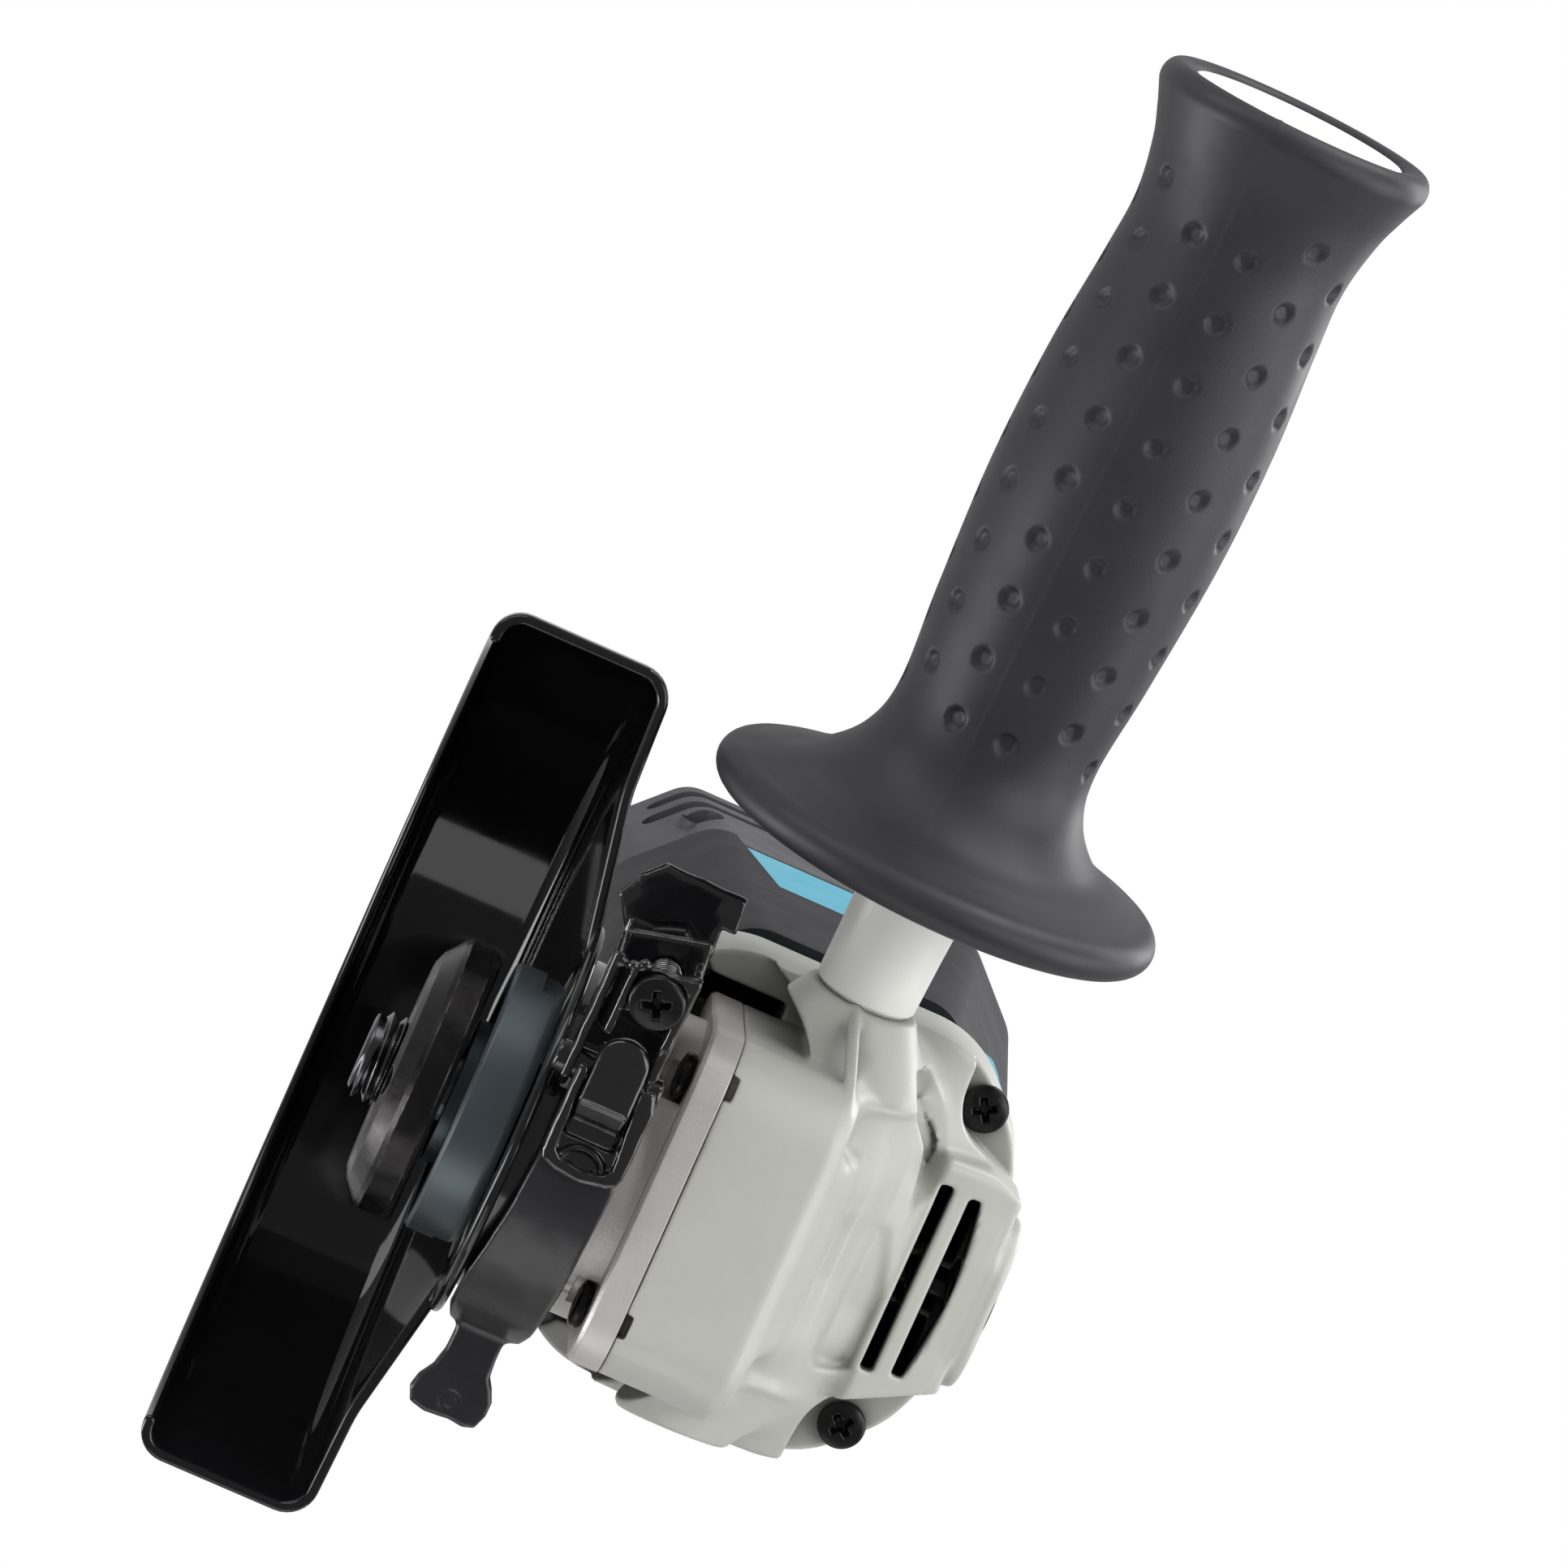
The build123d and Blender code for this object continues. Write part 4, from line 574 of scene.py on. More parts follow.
def gear_case():
    low, high, step = (-37.6, -39.2, 11.2), (28.4, 36.4, 86.8), CASE_STEP
    p = x, y, z = cells(low, high, step)
    case = head_masses(x, y, z)

    # Space for the bearing box's neck, the guard collar and its clamp
    case = cut(case, rod(p, (0, 0, 0), (0, 0, PLATE_TOP), 28.5), 0.5)
    room = rounded_rectangle(x, y, PLATE_HALF + 0.3, PLATE_HALF + 0.3, PLATE_CORNER + 0.3)
    case = cut(case, np.maximum(room, z - PLATE_TOP), 0.3)
    for side in (-1, 1):
        scoop = rod(p, (-19, side * 19.7, 30.2), (41, side * 19.7, 30.2), 15.1, radius=1.0)
        scoop = cut(scoop, rounded_rectangle(x, y, PLATE_HALF, PLATE_HALF, PLATE_CORNER), 1.0)
        scoop = meet(scoop, 21.5 - np.abs(y), 1.0)
        case = cut(case, scoop, 0.4)
        case = cut(case, block(p, (-38, side * 26.2 - 2.5, 26.4), (-18, side * 26.2 + 2.5, 39.7), 0.8), 0.3)
        # Nicks where the front stands on the plate
        nick = -20.1 if side < 0 else 17.2
        case = cut(case, block(p, (23.4, nick - 1.8, 33), (28, nick + 1.8, 34.7), 0.2), 0.1)

    # Corners and counterbores for the housing screws
    for side in (-1, 1):
        case = cut(case, np.maximum(screw_corner(y, z, side), SCREW_X - x), 0.3)
        lower = (side * SCREW_Y, MOTOR_Z - SCREW_Z)
        case = cut(case, rod(p, (SCREW_X, *lower), (30, *lower), 5), 0.4)

    # Lens-shaped recess beside the vents, with the gallery plug's bore, and the softer one across from it
    lens = polygon(y, z, [(-29.8, 59.4), (-23.3, 62.4), (-19.3, 65.6), (-14.2, 66.4), (-8.0, 67.0),
                          (-14.2, 69.0), (-18.2, 69.6), (-25.2, 66.9), (-30.4, 63.4)])
    surface = case
    depth = np.clip(0.5 * (69.5 - 0.045 * (y + 17) ** 2 - z), 0, 2.3)
    case = cut(case, meet(lens, -surface - depth, 0.3), 0.25)
    plug = polygon(y, z, [(-23.6, 63.6), (-22.2, 65.7), (-20.8, 66.9), (-19.2, 67.3), (-17.2, 66.8),
                          (-18.6, 65.7), (-20.6, 65.0), (-22.0, 64.1)])
    case = cut(case, meet(plug, -surface - 2.2), 0.2)
    trough = polygon(y, z, [(-7.0, 63.2), (4.0, 62.6), (14.4, 62.2), (15.8, 63.6), (15.9, 66.5), (14.8, 68.6),
                            (3.0, 68.6), (-7.0, 65.4)])
    case = cut(case, meet(trough, -surface - 1.5 * np.clip((y + 8) / 14, 0, 1), 1.6), 0.9)

    # Outlet vents
    lower_vent = block(p, (-9, -15.9, 69.9), (4, 14.2, 72.05), 0.6)
    arch = np.hypot(y + 0.9, z - 78.2 + 64) - 64
    upper_vent = meet(block(p, (-9, -15.3, 74.7), (4, 13.5, 79), 0.6), arch, 0.4)
    case = cut(case, join(lower_vent, upper_vent), 0.25)

    # The CAD housing's hollows: air chamber, gear room, bearing seats, and the lock button's bores, of
    # which the button's well is a little wider here
    chamber = block(p, (-37, -15.5, 67), (-5.6, 15.5, 77), 1.0)
    chamber = cut(chamber, rod(p, (LOCK_X, 0, 60), (LOCK_X, 0, 90), 5.2))
    for hollow in (chamber, rod(p, (0, 0, 30.4), (0, 0, 46.5), 23.2), rod(p, (0, 0, 46), (0, 0, 50.2), 16.5),
                   rod(p, (0, 0, 50), (0, 0, 57.2), 7.62), rod(p, (-28, 0, 48), (-10, 0, 48), 9.0),
                   rod(p, (-35, 0, 48), (-26.7, 0, 48), 14.02), rod(p, (-38, 0, 48), (-34, 0, 48), 12.0),
                   rod(p, (LOCK_X, 0, 77.4), (LOCK_X, 0, 90), 6.25),
                   rod(p, (LOCK_X, 0, 68), (LOCK_X, 0, 90), 4.3),
                   rod(p, (LOCK_X, 0, 43), (LOCK_X, 0, 90), 2.25)):
        case = cut(case, hollow)
    for side in (-1, 1):
        for rise in (-1, 1):
            bore = (side * SCREW_Y, MOTOR_Z + rise * SCREW_Z)
            case = cut(case, rod(p, (-38, *bore), (0, *bore), 2.5))
        for end in (-1, 1):
            bore = (end * BOX_SCREW, side * BOX_SCREW)
            case = cut(case, rod(p, (*bore, 32), (*bore, 43), 2.02))
    for root, lean in SOCKETS:
        case = cut(case, rod(p, root - lean * 10, root + lean * 2, SOCKET_R))
    piece("gear_case", [field_surface(case, low, step)], "cast_paint", "housing", "gear_housing",
          share=CASE_SHARE)


# Screws

def pan_head(radius, height):
    """A domed head on z = 0 with a tapered cross recess."""
    low, high, step = (-radius - 0.6, -radius - 0.6, -0.6), (radius + 0.6, radius + 0.6, height + 0.6), 0.2
    x, y, z = cells(low, high, step)
    head = capped(np.hypot(x, y) - radius, slab(z, 0, height), height * 0.42)
    head = meet(head, np.sqrt(x * x + y * y + (z - height + 3.2 * radius) ** 2) - 3.2 * radius, 0.3)
    depth = height - z
    for u, v in ((x, y), (y, x)):
        arm = np.maximum(np.abs(u) - radius * 0.55 + depth * 0.45, np.abs(v) - radius * 0.15 + depth * 0.1)
        head = cut(head, np.maximum(arm, depth - height * 0.75), 0.15)
    return field_surface(head, low, step)


def threaded_rod(radius, start, end, pitch, depth):
    """A rod along Z with a thread along it and a bevel at its start."""
    def thread(azimuth, r, height):
        share = np.clip(np.minimum(height - start, end - height) / 0.8, 0, 1)
        wave = np.abs((height / pitch - azimuth / (2 * math.pi)) % 1 * 2 - 1)
        return share * depth * np.clip(1.15 * wave - 0.1, 0, 1) * (r > radius * 0.98)

    rows = round((end - start) / (pitch / 10))
    path = [(0, start), (radius - depth, start), (radius - depth * 0.1, start + depth * 0.9)]
    path += [(radius, start + depth + (end - start - depth) * k / rows) for k in range(1, rows + 1)]
    return lathe(path + [(0, end)], 64, thread)


def pan_screws():
    box_screw = [placed(pan_head(3.6, 2.4), Matrix.Rotation(math.pi, 4, "X"))]
    box_screw = [(points + (0, 0, 28.6), quads) for points, quads in box_screw]
    box_screw.append(lathe([(0, 28.4), (2, 28.4), (2, 42.4), (0, 42.4)], 24))
    corners = [(x * BOX_SCREW, y * BOX_SCREW, 0) for x in (-1, 1) for y in (-1, 1)]
    piece("box_screws", [(points + corner, quads) for corner in corners for points, quads in box_screw],
          "black_oxide", "housing", "bearing_box_screws")
    head_screw = [pan_head(3.7, 2.6), lathe([(0, -32), (2.2, -32), (2.2, 0.2), (0, 0.2)], 24)]
    seats = [seat((SCREW_X, y * SCREW_Y, MOTOR_Z + z * SCREW_Z), (1, 0, 0), (0, math.cos(turn), math.sin(turn)))
             for y, z, turn in ((-1, 1, 0.5), (1, 1, 0.9), (-1, -1, 0.2), (1, -1, 1.2))]
    piece("head_screws", [placed(surface, place) for place in seats for surface in head_screw],
          "black_oxide", "housing", "gear_housing_screws")
    shell_screw = [pan_head(3.4, 2.2), lathe([(0, -33), (1.8, -33), (1.8, 0.2), (0, 0.2)], 24)]
    seats = [seat((x, -21.5, MOTOR_Z - 20), (0, -1, 0)) for x in (-188, -244)]
    piece("shell_screws", [placed(surface, place) for place in seats for surface in shell_screw],
          "black_oxide", "housing", "rear_shell_screws")


# Spindle

def spindle():
    def thread(azimuth, radius, height):
        share = np.clip(np.minimum(height + 15.6, -11.2 - height) / 0.5, 0, 1) * (radius > 5.6)
        wave = np.abs((height / 2.0 - azimuth / (2 * math.pi)) % 1 * 2 - 1)
        return share * 1.2 * np.clip(1.45 * wave - 0.06, 0, 1)

    path = [(0, -15.7), (5.2, -15.7), (5.8, -15.55)]
    path += [(min(6.0 + k * 0.1, 7.0), -15.4 + 0.1 * k) for k in range(42)]
    path += [(6.35, -11.25), (6.35, 8.2), (8.6, 8.2), (8.6, 19.7), (7.5, 19.7), (7.5, 33.3), (6.5, 33.3),
             (6.5, 43.0), (4.5, 44.5), (4.5, 55.8), (3.7, 56.6), (0, 56.6)]
    piece("threaded_spindle", [lathe(path, 128, thread)], "thread_steel", "spindle", "spindle")


# Side handle, in a frame on its seat with Z along its axis

HANDLE_LENGTH = 142.8
HANDLE_PARTING = -12.5
HANDLE = seat(HANDLE_SEAT, HANDLE_LEAN) @ Matrix.Rotation(math.radians(HANDLE_PARTING), 4, "Z")


def arc_points(centre, radii, start, end, steps):
    """Points of an arc between two angles, which may be flattened."""
    angles = [math.radians(start + (end - start) * k / steps) for k in range(steps + 1)]
    return [(centre[0] + radii[0] * math.cos(a), centre[1] + radii[1] * math.sin(a)) for a in angles]


def dimples(azimuth, radius, height):
    """Staggered rows of round hollows with crisp rims, and the mould's parting line."""
    depth = np.zeros(radius.shape)
    outside = radius > 15.2
    for column in range(12):
        first = 46.4 if min(column, 11 - column) % 2 == 0 else 51.3
        turn = (azimuth - math.radians(15 + 30 * column) + math.pi) % (2 * math.pi) - math.pi
        along = (height - first + 4.785) % 9.57 - 4.785
        away = np.hypot(turn * radius, along)
        step = np.clip((1.62 - away) / 0.42, 0, 1)
        row = (height > first - 3) & (height < first + 8.4 * 9.57)
        depth += np.where(row & outside, 0.72 * step * step * (3 - 2 * step), 0)
    parting = np.minimum(azimuth, 2 * math.pi - azimuth) < 0.01
    return depth - np.where(parting & outside & (height > 30), 0.1, 0)


def handle_grip():
    end = HANDLE_LENGTH
    outside = [(14.2, 18.8), (20, 19.6), (26, 20.5), (30.6, 21.15)]
    outside += arc_points((31.8, 24.4), (3.2, 3.1), -85, 85, 14)
    outside += smooth_path([(31.0, 27.8), (27.0, 29.3), (22.0, 31.7), (17.4, 37.2), (15.7, 45.0), (16.9, 60.0),
                            (18.1, 80.0), (17.9, 98.0), (16.7, 114.0), (16.3, 123.0), (17.6, 131.0),
                            (19.4, end - 6.5)], 0.45)
    outside += arc_points((18.7, end - 2.6), (2.1, 2.6), -32, 88, 10)
    inside = [(16.5, end - 0.5), (16.45, end - 8), (14.3, end - 16), (11.6, end - 28), (11.6, 26),
              (14.05, 24.2)]
    surface = lathe(outside + inside, 240, dimples, closed=True)
    piece("side_grip", [placed(surface, HANDLE)], "dark_rubber", "housing", "handle_grip")


def handle_core():
    end = HANDLE_LENGTH

    def ribs(azimuth, radius, height):
        turn = (azimuth + math.pi / 4) % (math.pi / 2) - math.pi / 4
        inside = (height > end - 13.6) & (height < end - 1.6) & (radius < 14.95)
        ribbed = np.where(inside & (np.abs(turn * radius) < 0.6), -1.0, 0)
        # Two nicks in the rim
        nick = (np.abs(turn * radius) < 0.5) & (np.abs(height - end + 0.8) < 0.1) & (np.sin(azimuth) > 0.6)
        return ribbed + np.where(nick, 0.4, 0)

    path = [(0, 24), (SOCKET_R, 24), (SOCKET_R, 0.02), (6.9, 0.02), (7.05, 0.35), (7.5, 0.55), (7.75, 1.0),
            (7.8, 5), (7.9, 10), (8.1, 15.5), (8.6, 17.4), (9.6, 18.3), (11.2, 18.6), (13.7, 18.6),
            (13.95, 18.9), (13.95, 24), (11.45, 26), (11.45, end - 28), (14.15, end - 16),
            (16.3, end - 8), (16.3, end - 1.5), (16.1, end - 1.0),
            (15.8, end - 0.8), (14.9, end - 0.8), (14.65, end - 1.0), (14.5, end - 1.5), (14.3, end - 3),
            (13.9, end - 6), (13.4, end - 10), (12.9, end - 13), (12.3, end - 14), (11, end - 14.4),
            (0, end - 14.5)]
    piece("handle_neck_and_cup", [placed(lathe(path, 180, ribs), HANDLE)], "white_plastic", "housing",
          "handle_core")


# Guard

def guard():
    path = rounded_path([(63, -22.15, 0), (67.15, -22.15, 3.75), (67.15, 3.75, 4.15), (50, 4.45, 25),
                         (26.2, 9.05, 0)], 8)
    ring = rounded_path([(26.2, 9.05, 0), (29.8, 9.05, 0)])
    half_round = pressed_sheet(path, 0.85, 90, 270, 240, 0.6)
    collar = pressed_sheet(ring, 0.83, -90.5, 90.5, 120)
    piece("guard_sheet", [half_round, collar], "guard_black", "guard", "guard_shell")


def ripple(x, y, z, size=1.0):
    """Slow unevenness of thick coating, in millimetres."""
    return 0.03 * (np.sin(1.3 * x / size + 1.7 * np.sin(0.9 * y / size)) + np.sin(1.1 * z / size + 1.9 * np.sin(
        0.8 * x / size + 0.5 * y / size)) + np.sin(1.2 * y / size + 1.5 * np.sin(1.1 * z / size)))


# Clamp of the guard's band: a long screw draws the lever's channel towards a bracket

SCREW_SEAT, SCREW_TURN = (35.6, -28.7, 18.8), math.radians(13)
PIVOT = (29.2, -15.5)


def along_screw(x, y, z):
    """Sideways, up, and outward along the clamp screw, from under its head."""
    cosine, sine = math.cos(SCREW_TURN), math.sin(SCREW_TURN)
    x, y = x - SCREW_SEAT[0], y - SCREW_SEAT[1]
    return y * cosine - x * sine, z - SCREW_SEAT[2], x * cosine + y * sine


def full_cells(low, high, step):
    """The cells of a box as whole arrays, for sections that turn with the axes."""
    return [np.array(axis) for axis in np.broadcast_arrays(*cells(low, high, step))]


def arc_band(x, y, start, end):
    """Distance beyond a range of azimuths, along the arc."""
    azimuth = np.degrees(np.arctan2(y, x))
    return np.radians(np.abs(azimuth - (start + end) / 2) - (end - start) / 2) * np.hypot(x, y)


def clamp_bracket():
    """The band's saddle and the plate that the screw pulls on."""
    low, step = (-15, -46.5, 6.5), 0.3
    x, y, z = full_cells(low, (29, -19, 28), step)
    u, v, w = along_screw(x, y, z)
    saddle = np.maximum(slab(z, 12.4, 23.0), arc_band(x, y, -116, -62))
    saddle = capped(slab(np.hypot(x, y), 25.8, 27.9), saddle, 0.6)
    outline = polygon(u, v, [(-11.0, -5.7), (-10.8, 7.1), (-4.9, 7.9), (-5.0, 5.6), (-1.1, 6.0), (2.9, 4.9),
                             (2.9, -6.3), (-4.0, -10.4), (-8.0, -8.5)])
    plate = capped(outline + 0.2, slab(w, -25, -23), 0.6)
    near = polygon(u, v, [(-4.2, -7.4), (-7.4, 4.7), (-1.9, 5.4), (3.5, 5.0), (3.5, -6.8), (-0.5, -7.1)])
    foot = capped(np.maximum(near, -1.5 - u) + 0.2, slab(w, -24, -11), 0.8)
    near = capped(near + 0.2, slab(w, -13.0, -11), 0.7)
    bracket = join(join(saddle, plate, 1.6), join(near, foot, 0.5), 0.8)
    bracket = cut(bracket, np.maximum(np.hypot(u, v) - 2.7, slab(w, -28, -9)), 0.3) + ripple(x, y, z)
    bracket = cut(bracket, np.hypot(x, y) - 25.77)
    return field_surface(bracket, low, step)


def clamp_channel():
    """The folded sheet between the lever's pin and the screw's head."""
    low, step = (22, -38, 8.5), 0.25
    x, y, z = full_cells(low, (39, -9, 26), step)
    u, v, w = along_screw(x, y, z)
    front = polygon(u, v, [(-3.4, -5.2), (-5.2, 4.9), (6.2, 4.4), (7.2, 3.0), (7.4, -5.2)])
    front = capped(front + 0.2, slab(w, -2.8, 0), 0.5)
    well = rounded_rectangle(u - 6.15, v + 0.6, 10.05, 3.95, 2.3)
    front = cut(front, capped(well, slab(w, -1.3, 4), 0.5), 0.3)
    plan = polygon(x, y, [(36.0, -33.2), (33.4, -19.0), (32.4, -13.2), (29.2, -11.5), (25.9, -13.2),
                          (24.6, -20.0), (27.4, -35.4)])
    lower = capped(plan + 0.2, slab(z, 10.7, 12.0), 0.5)
    upper = capped(plan + 0.2, slab(z, 22.0, 22.95), 0.4)
    rim = capped(np.maximum(plan, y + 17.6) + 0.2, slab(z, 21.9, 23.5), 0.6)
    lip = polygon(w, v, [(0.3, -4.1), (0.2, -5.0), (-6.4, -8.3), (-7.0, -6.9), (-1.4, -3.9)])
    lip = capped(lip, slab(u, -2.6, 7.6), 0.5)
    channel = join(join(front, rim, 0.8), join(upper, lip, 0.5), 0.6)
    channel = join(channel, lower, 0.4)
    # Folds of the sheet at the corner
    for swell, at in ((0.3, (-3.4, -5.2, -0.6)), (1.2, (-2.9, -6.6, -1.5)), (2.0, (-4.0, -3.6, -0.9))):
        fold = np.sqrt((u - at[0]) ** 2 + (v - at[1]) ** 2 + (w - at[2]) ** 2) - 0.75 - 0.1 * swell
        channel = join(channel, fold, 0.35)
    tongue_room = np.maximum(np.hypot(y + 18.2, z - 18) - 4.15, -z + 14.0)
    channel = cut(channel, np.maximum(tongue_room, slab(z, 14.0, 21.7)), 0.2)
    window = np.maximum(np.maximum(y + 20.5, -25.5 - y), np.maximum(slab(z, 14.0, 21.8), x - 34))
    channel = cut(channel, window, 0.2)
    channel = cut(channel, np.maximum(np.hypot(u, v) - 2.8, slab(w, -4, 2)), 0.2) + ripple(x, y, z)
    channel = cut(channel, np.hypot(x - PIVOT[0], y - PIVOT[1]) - 2.42)
    return field_surface(channel, low, step)


def clamp_root():
    """The lever's end: a pressed tray with a round tongue between its walls."""
    low, step = (26.5, -23.5, 9.5), 0.25
    x, y, z = full_cells(low, (37.5, 2.5, 27.5), step)
    radius = np.hypot(x, y)
    outline = polygon(y, z, [(-16.6, 12.2), (-13.4, 12.15), (-2.8, 12.15), (-1.1, 12.8), (-0.2, 15.0),
                             (0.1, 19.0), (-0.5, 23.0), (-1.5, 24.5), (-3.0, 25.1), (-13.6, 25.3),
                             (-16.6, 24.3)])
    front = between(y, -16, 34.2, -1, 33.0)
    tray = capped(outline + 0.3, np.maximum(28.6 - radius, x - front), 0.9)
    inside = polygon(y, z, [(-22, 14.0), (-12.0, 13.9), (-3.6, 14.3), (-2.4, 15.6), (-2.1, 19.0), (-2.6, 22.0),
                            (-3.8, 22.9), (-13.8, 22.1), (-22, 22.1)])
    tray = cut(tray, np.maximum(inside, 30.6 - x), 0.35)
    tray = cut(tray, np.maximum(np.maximum(y + 11.0, 22.98 - z), x - 31.2))
    tray = cut(tray, np.maximum(np.maximum(y + 11.0, z - 12.05), x - 31.2))
    # Floor: the tongue's plate, its step down, a ridge and the hollow's curved fold
    floor = polygon(x, y, [(29.5, -17.5), (29.5, -1.5), (30.9, -2.0), (30.6, -5.4), (31.6, -5.9), (31.9, -6.4),
                           (31.5, -7.1), (31.4, -8.3), (32.5, -8.9), (34.2, -11.0), (34.1, -18.0)])
    floor = capped(floor + 0.15, slab(z, 14.4, 21.9), 0.45)
    below = capped(np.maximum(slab(y, -8.6, -1.0), slab(x, 29.0, 30.8)), slab(z, 13.0, 23.5), 0.3)
    fold = np.hypot(np.hypot(y + 1.2, z - 18.4) - 3.6, x - 30.9) - 0.5
    tongue = np.hypot(np.minimum(y + 18.2, 0), z - 18.1) - 3.8
    tongue = capped(np.maximum(tongue, y + 11.4), slab(x, 30.5, 34.5), 0.8)
    root = join(join(tray, join(floor, tongue, 0.3), 0.25), join(below, np.maximum(fold, y + 2.2), 0.3), 0.3)
    eye = rod((x, y, z), (*PIVOT, 14.4), (*PIVOT, 21.6), 4.2, radius=0.5)
    root = join(root, eye, 0.4) + 0.8 * ripple(x, y, z, 1.2)
    root = cut(root, np.hypot(x - PIVOT[0], y - PIVOT[1]) - 2.45)
    root = cut(root, radius - 28.55)
    return field_surface(root, low, step)


def clamp_strap():
    """The lever's strap around the band, with its finger tab."""
    low, step = (7, -4, 7.5), 0.3
    x, y, z = full_cells(low, (33, 45, 27), step)
    radius = np.hypot(x, y)
    strap = polygon(y, z, [(-2.6, 12.6), (2.0, 12.2), (6.5, 12.0), (14.8, 11.0), (18.9, 10.4), (22.7, 10.2),
                           (25.9, 10.3), (28.4, 11.2), (29.3, 12.8), (29.3, 20.1), (28.2, 22.0), (25.7, 22.9),
                           (17.2, 23.7), (-0.4, 24.4), (-2.6, 24.0)])
    strap = capped(slab(radius, 28.7, 31.2), np.maximum(strap, -x), 0.5)
    end_x = 12.2
    tab = polygon(y, z, [(28.0, 12.6), (33.0, 12.4), (35.6, 11.8), (37.8, 10.4), (40.0, 9.9), (42.2, 10.8),
                         (42.8, 13.3), (42.5, 17.0), (42.8, 19.3), (42.2, 21.1), (39.9, 22.0), (37.7, 22.0),
                         (35.9, 21.2), (34.3, 20.2), (32.0, 20.1), (28.0, 20.1)])
    tab = capped(tab + 0.1, slab(x, end_x - 1.1, end_x + 1.1), 0.8)
    strap = join(strap, tab, 1.2)
    dimple = np.hypot(np.hypot(y - 39.8, z - 16.2) - 1.3, x - end_x - 1.3) - 0.45
    strap = cut(strap, dimple, 0.15) + 0.6 * ripple(x, y, z, 1.4)
    return field_surface(strap, low, step)


def clamp():
    """The clamp's pieces; cross_turn is how far the screw's cross is turned."""
    cross_turn = 0.35
    turn = seat(SCREW_SEAT, (math.cos(SCREW_TURN), math.sin(SCREW_TURN), 0),
                (0, math.cos(cross_turn), math.sin(cross_turn)))
    piece("band_bracket", [clamp_bracket()], "clamp_black", "guard", "anchor_bracket")
    piece("band_channel", [clamp_channel()], "clamp_black", "guard", "link_channel")
    deep = turn @ Matrix.Translation((0, 0, -1.2))
    piece("band_screw", [placed(pan_head(4.05, 3.0), deep)], "black_oxide", "guard")
    shank = threaded_rod(2.5, -20.5, -1.0, 0.8, 0.42)
    piece("band_screw_thread", [placed(shank, turn)], "thread_steel", "guard", "clamp_screw")
    nut = [(2.52, -23.0), (4.1, -23.0), (4.1, -19.6), (2.52, -19.6)]
    nut = lathe(nut, 96, lambda azimuth, radius, height: np.where(
        radius > 3, 4.1 - 3.75 / np.cos((azimuth + math.pi / 6) % (math.pi / 3) - math.pi / 6), 0), closed=True)
    piece("band_nut", [placed(nut, turn)], "black_oxide", "guard", "clamp_nut")
    piece("band_lever_root", [clamp_root()], "clamp_black", "clamp_lever")
    piece("band_lever", [clamp_strap()], "lever_grey", "clamp_lever", "clamp_lever")


gear_case()
pan_screws()
spindle()
handle_grip()
handle_core()
guard()
clamp()

# Light, floor and camera

def aim(obj, place, target):
    """Puts a lamp at a place in millimetres and points it at a target."""
    obj.location = Vector(place) * MM
    obj.rotation_euler = (Vector(target) - Vector(place)).to_track_quat("-Z", "Y").to_euler()


def lamp(name, place, target, size, power):
    """A soft box, in millimetres, that the camera doesn't see itself."""
    data = bpy.data.lights.new(name, "AREA")
    data.shape = "RECTANGLE"
    data.size, data.size_y = size[0] * MM, size[1] * MM
    data.energy = power
    obj = linked(name, data)
    aim(obj, place, target)
    obj.visible_camera = False
    return obj


def paper(name, shade):
    """Matt paper, clear from below and to shadow and glossy rays."""
    s = Shader(name)
    s.tree.nodes.remove(s.principled)
    output = s.tree.nodes["Material Output"]
    matt = s.add("ShaderNodeBsdfDiffuse", {"Color": (shade, shade, shade, 1), "Roughness": 0.5})
    clear = s.add("ShaderNodeBsdfTransparent")
    ray = s.add("ShaderNodeLightPath").outputs
    below = s.add("ShaderNodeNewGeometry").outputs["Backfacing"]
    unseen = s.math("MAXIMUM", s.math("MAXIMUM", below, ray["Is Shadow Ray"]), ray["Is Glossy Ray"])
    choice = s.add("ShaderNodeMixShader")
    for socket, value in zip(choice.inputs, (unseen, matt.outputs[0], clear.outputs[0])):
        s.put(socket, value)
    s.put(output.inputs["Surface"], choice.outputs[0])
    return s.material


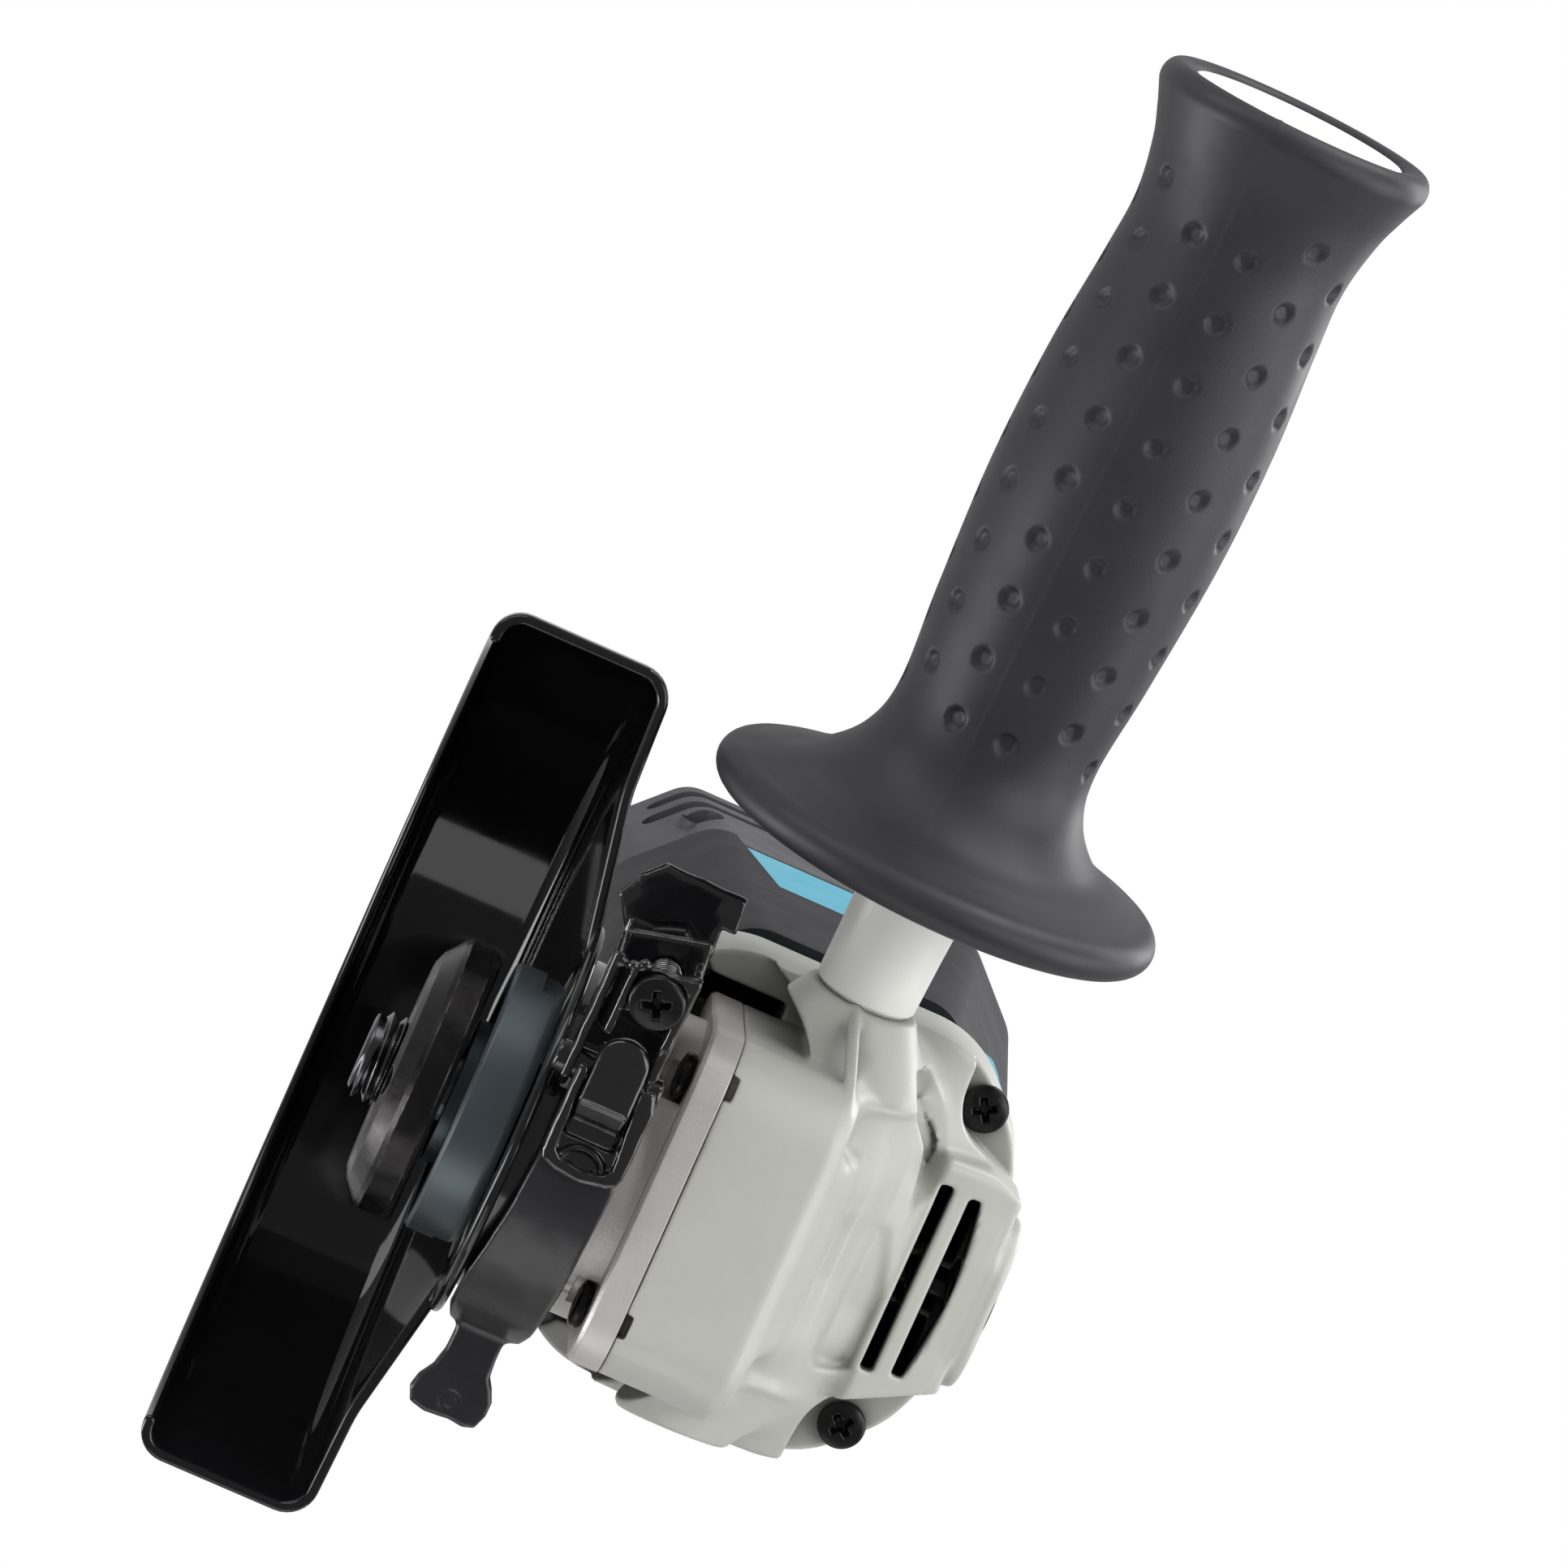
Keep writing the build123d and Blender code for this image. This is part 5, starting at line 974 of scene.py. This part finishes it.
def studio():
    """The floor at the object's foot, the plain white world and the lamps."""
    low = cad_bounds[0].z
    half = 2.5
    corners = [(-half, -half, low), (half, -half, low), (half, half, low), (-half, half, low)]
    mesh = bpy.data.meshes.new("floor")
    mesh.from_pydata(corners, [], [(0, 1, 2, 3)])
    mesh.materials.append(paper("floor_paper", 0.9))
    linked("floor", mesh)

    world = bpy.data.worlds.new("studio")
    bpy.context.scene.world = world
    world.use_nodes = True
    tree = world.node_tree
    background = tree.nodes["Background"]
    ray = tree.nodes.new("ShaderNodeLightPath")
    direction = tree.nodes.new("ShaderNodeSeparateXYZ")
    tree.links.new(tree.nodes.new("ShaderNodeTexCoord").outputs["Generated"], direction.inputs[0])
    # White to the camera and through glass; darker towards the nose in gloss; dim as a light
    gloss = tree.nodes.new("ShaderNodeMapRange")
    for name, value in (("From Min", -0.35), ("From Max", 0.5), ("To Min", 0.55), ("To Max", 0.22)):
        gloss.inputs[name].default_value = value
    tree.links.new(direction.outputs["X"], gloss.inputs["Value"])
    strength = 0.16
    for flag, level in (("Is Glossy Ray", gloss.outputs["Result"]), ("Is Transmission Ray", 1.0),
                        ("Is Camera Ray", 1.0)):
        chosen = tree.nodes.new("ShaderNodeMix")
        tree.links.new(ray.outputs[flag], chosen.inputs["Factor"])
        for socket, value in ((chosen.inputs["A"], strength), (chosen.inputs["B"], level)):
            if isinstance(value, bpy.types.NodeSocket):
                tree.links.new(value, socket)
            else:
                socket.default_value = value
        strength = chosen.outputs["Result"]
    tree.links.new(strength, background.inputs["Strength"])
    background.inputs["Color"].default_value = (1, 1, 1, 1)

    centre = (0, 0, 40)
    lamp("key_box", (600, -300, 650), centre, (520, 520), 3.0)
    lamp("top_box", (60, -900, 400), centre, (700, 500), 5.2)
    lamp("right_box", (130, -60, 900), centre, (600, 600), 3.6)
    lamp("low_box", (120, 780, 450), centre, (600, 600), 1.3)
    lamp("side_box", (250, -560, -420), centre, (240, 700), 1.6)
    lamp("rim_box", (-500, -300, 600), centre, (500, 300), 2.0)
    # Two cards that only show as reflections
    for card in (lamp("patch_box", (430, 680, 0), (-40, 0, 0), (450, 500), 1.1),
                 lamp("left_box", (100, 300, -700), (0, 0, 0), (900, 200), 4.5)):
        card.visible_diffuse = False
    # A narrow spot for the hollow end of the handle
    spot = bpy.data.lights.new("cup_spot", "SPOT")
    spot.energy, spot.spot_size, spot.spot_blend, spot.shadow_soft_size = 2.5, math.radians(3.2), 0.6, 0.02
    aim(linked("cup_spot", spot), (430, -640, 180), (19, -176, 52))


def camera():
    """The photograph's camera, from its angles to the axes and the origin's place in the view."""
    yaw, pitch, roll = math.radians(3.43), math.radians(5.49), math.radians(24.13)
    distance, aside, above = 897.0, -47.1, -45.0
    lens = 141.3
    back = Vector((math.cos(yaw) * math.cos(pitch), -math.sin(pitch), -math.sin(yaw) * math.cos(pitch)))
    flat = Vector((0, -1, 0)).cross(back).normalized()
    upright = back.cross(flat)
    right = math.cos(roll) * flat + math.sin(roll) * upright
    up = math.cos(roll) * upright - math.sin(roll) * flat
    data = bpy.data.cameras.new("camera")
    data.lens, data.sensor_width = lens, 36.0
    data.clip_start, data.clip_end = 0.05, 20.0
    obj = linked("camera", data)
    turn = Matrix((right, up, back)).transposed().to_4x4()
    obj.matrix_world = Matrix.Translation((back * distance - right * aside - up * above) * MM) @ turn
    bpy.context.scene.camera = obj


studio()
camera()
bpy.context.scene.view_settings.view_transform = "Standard"
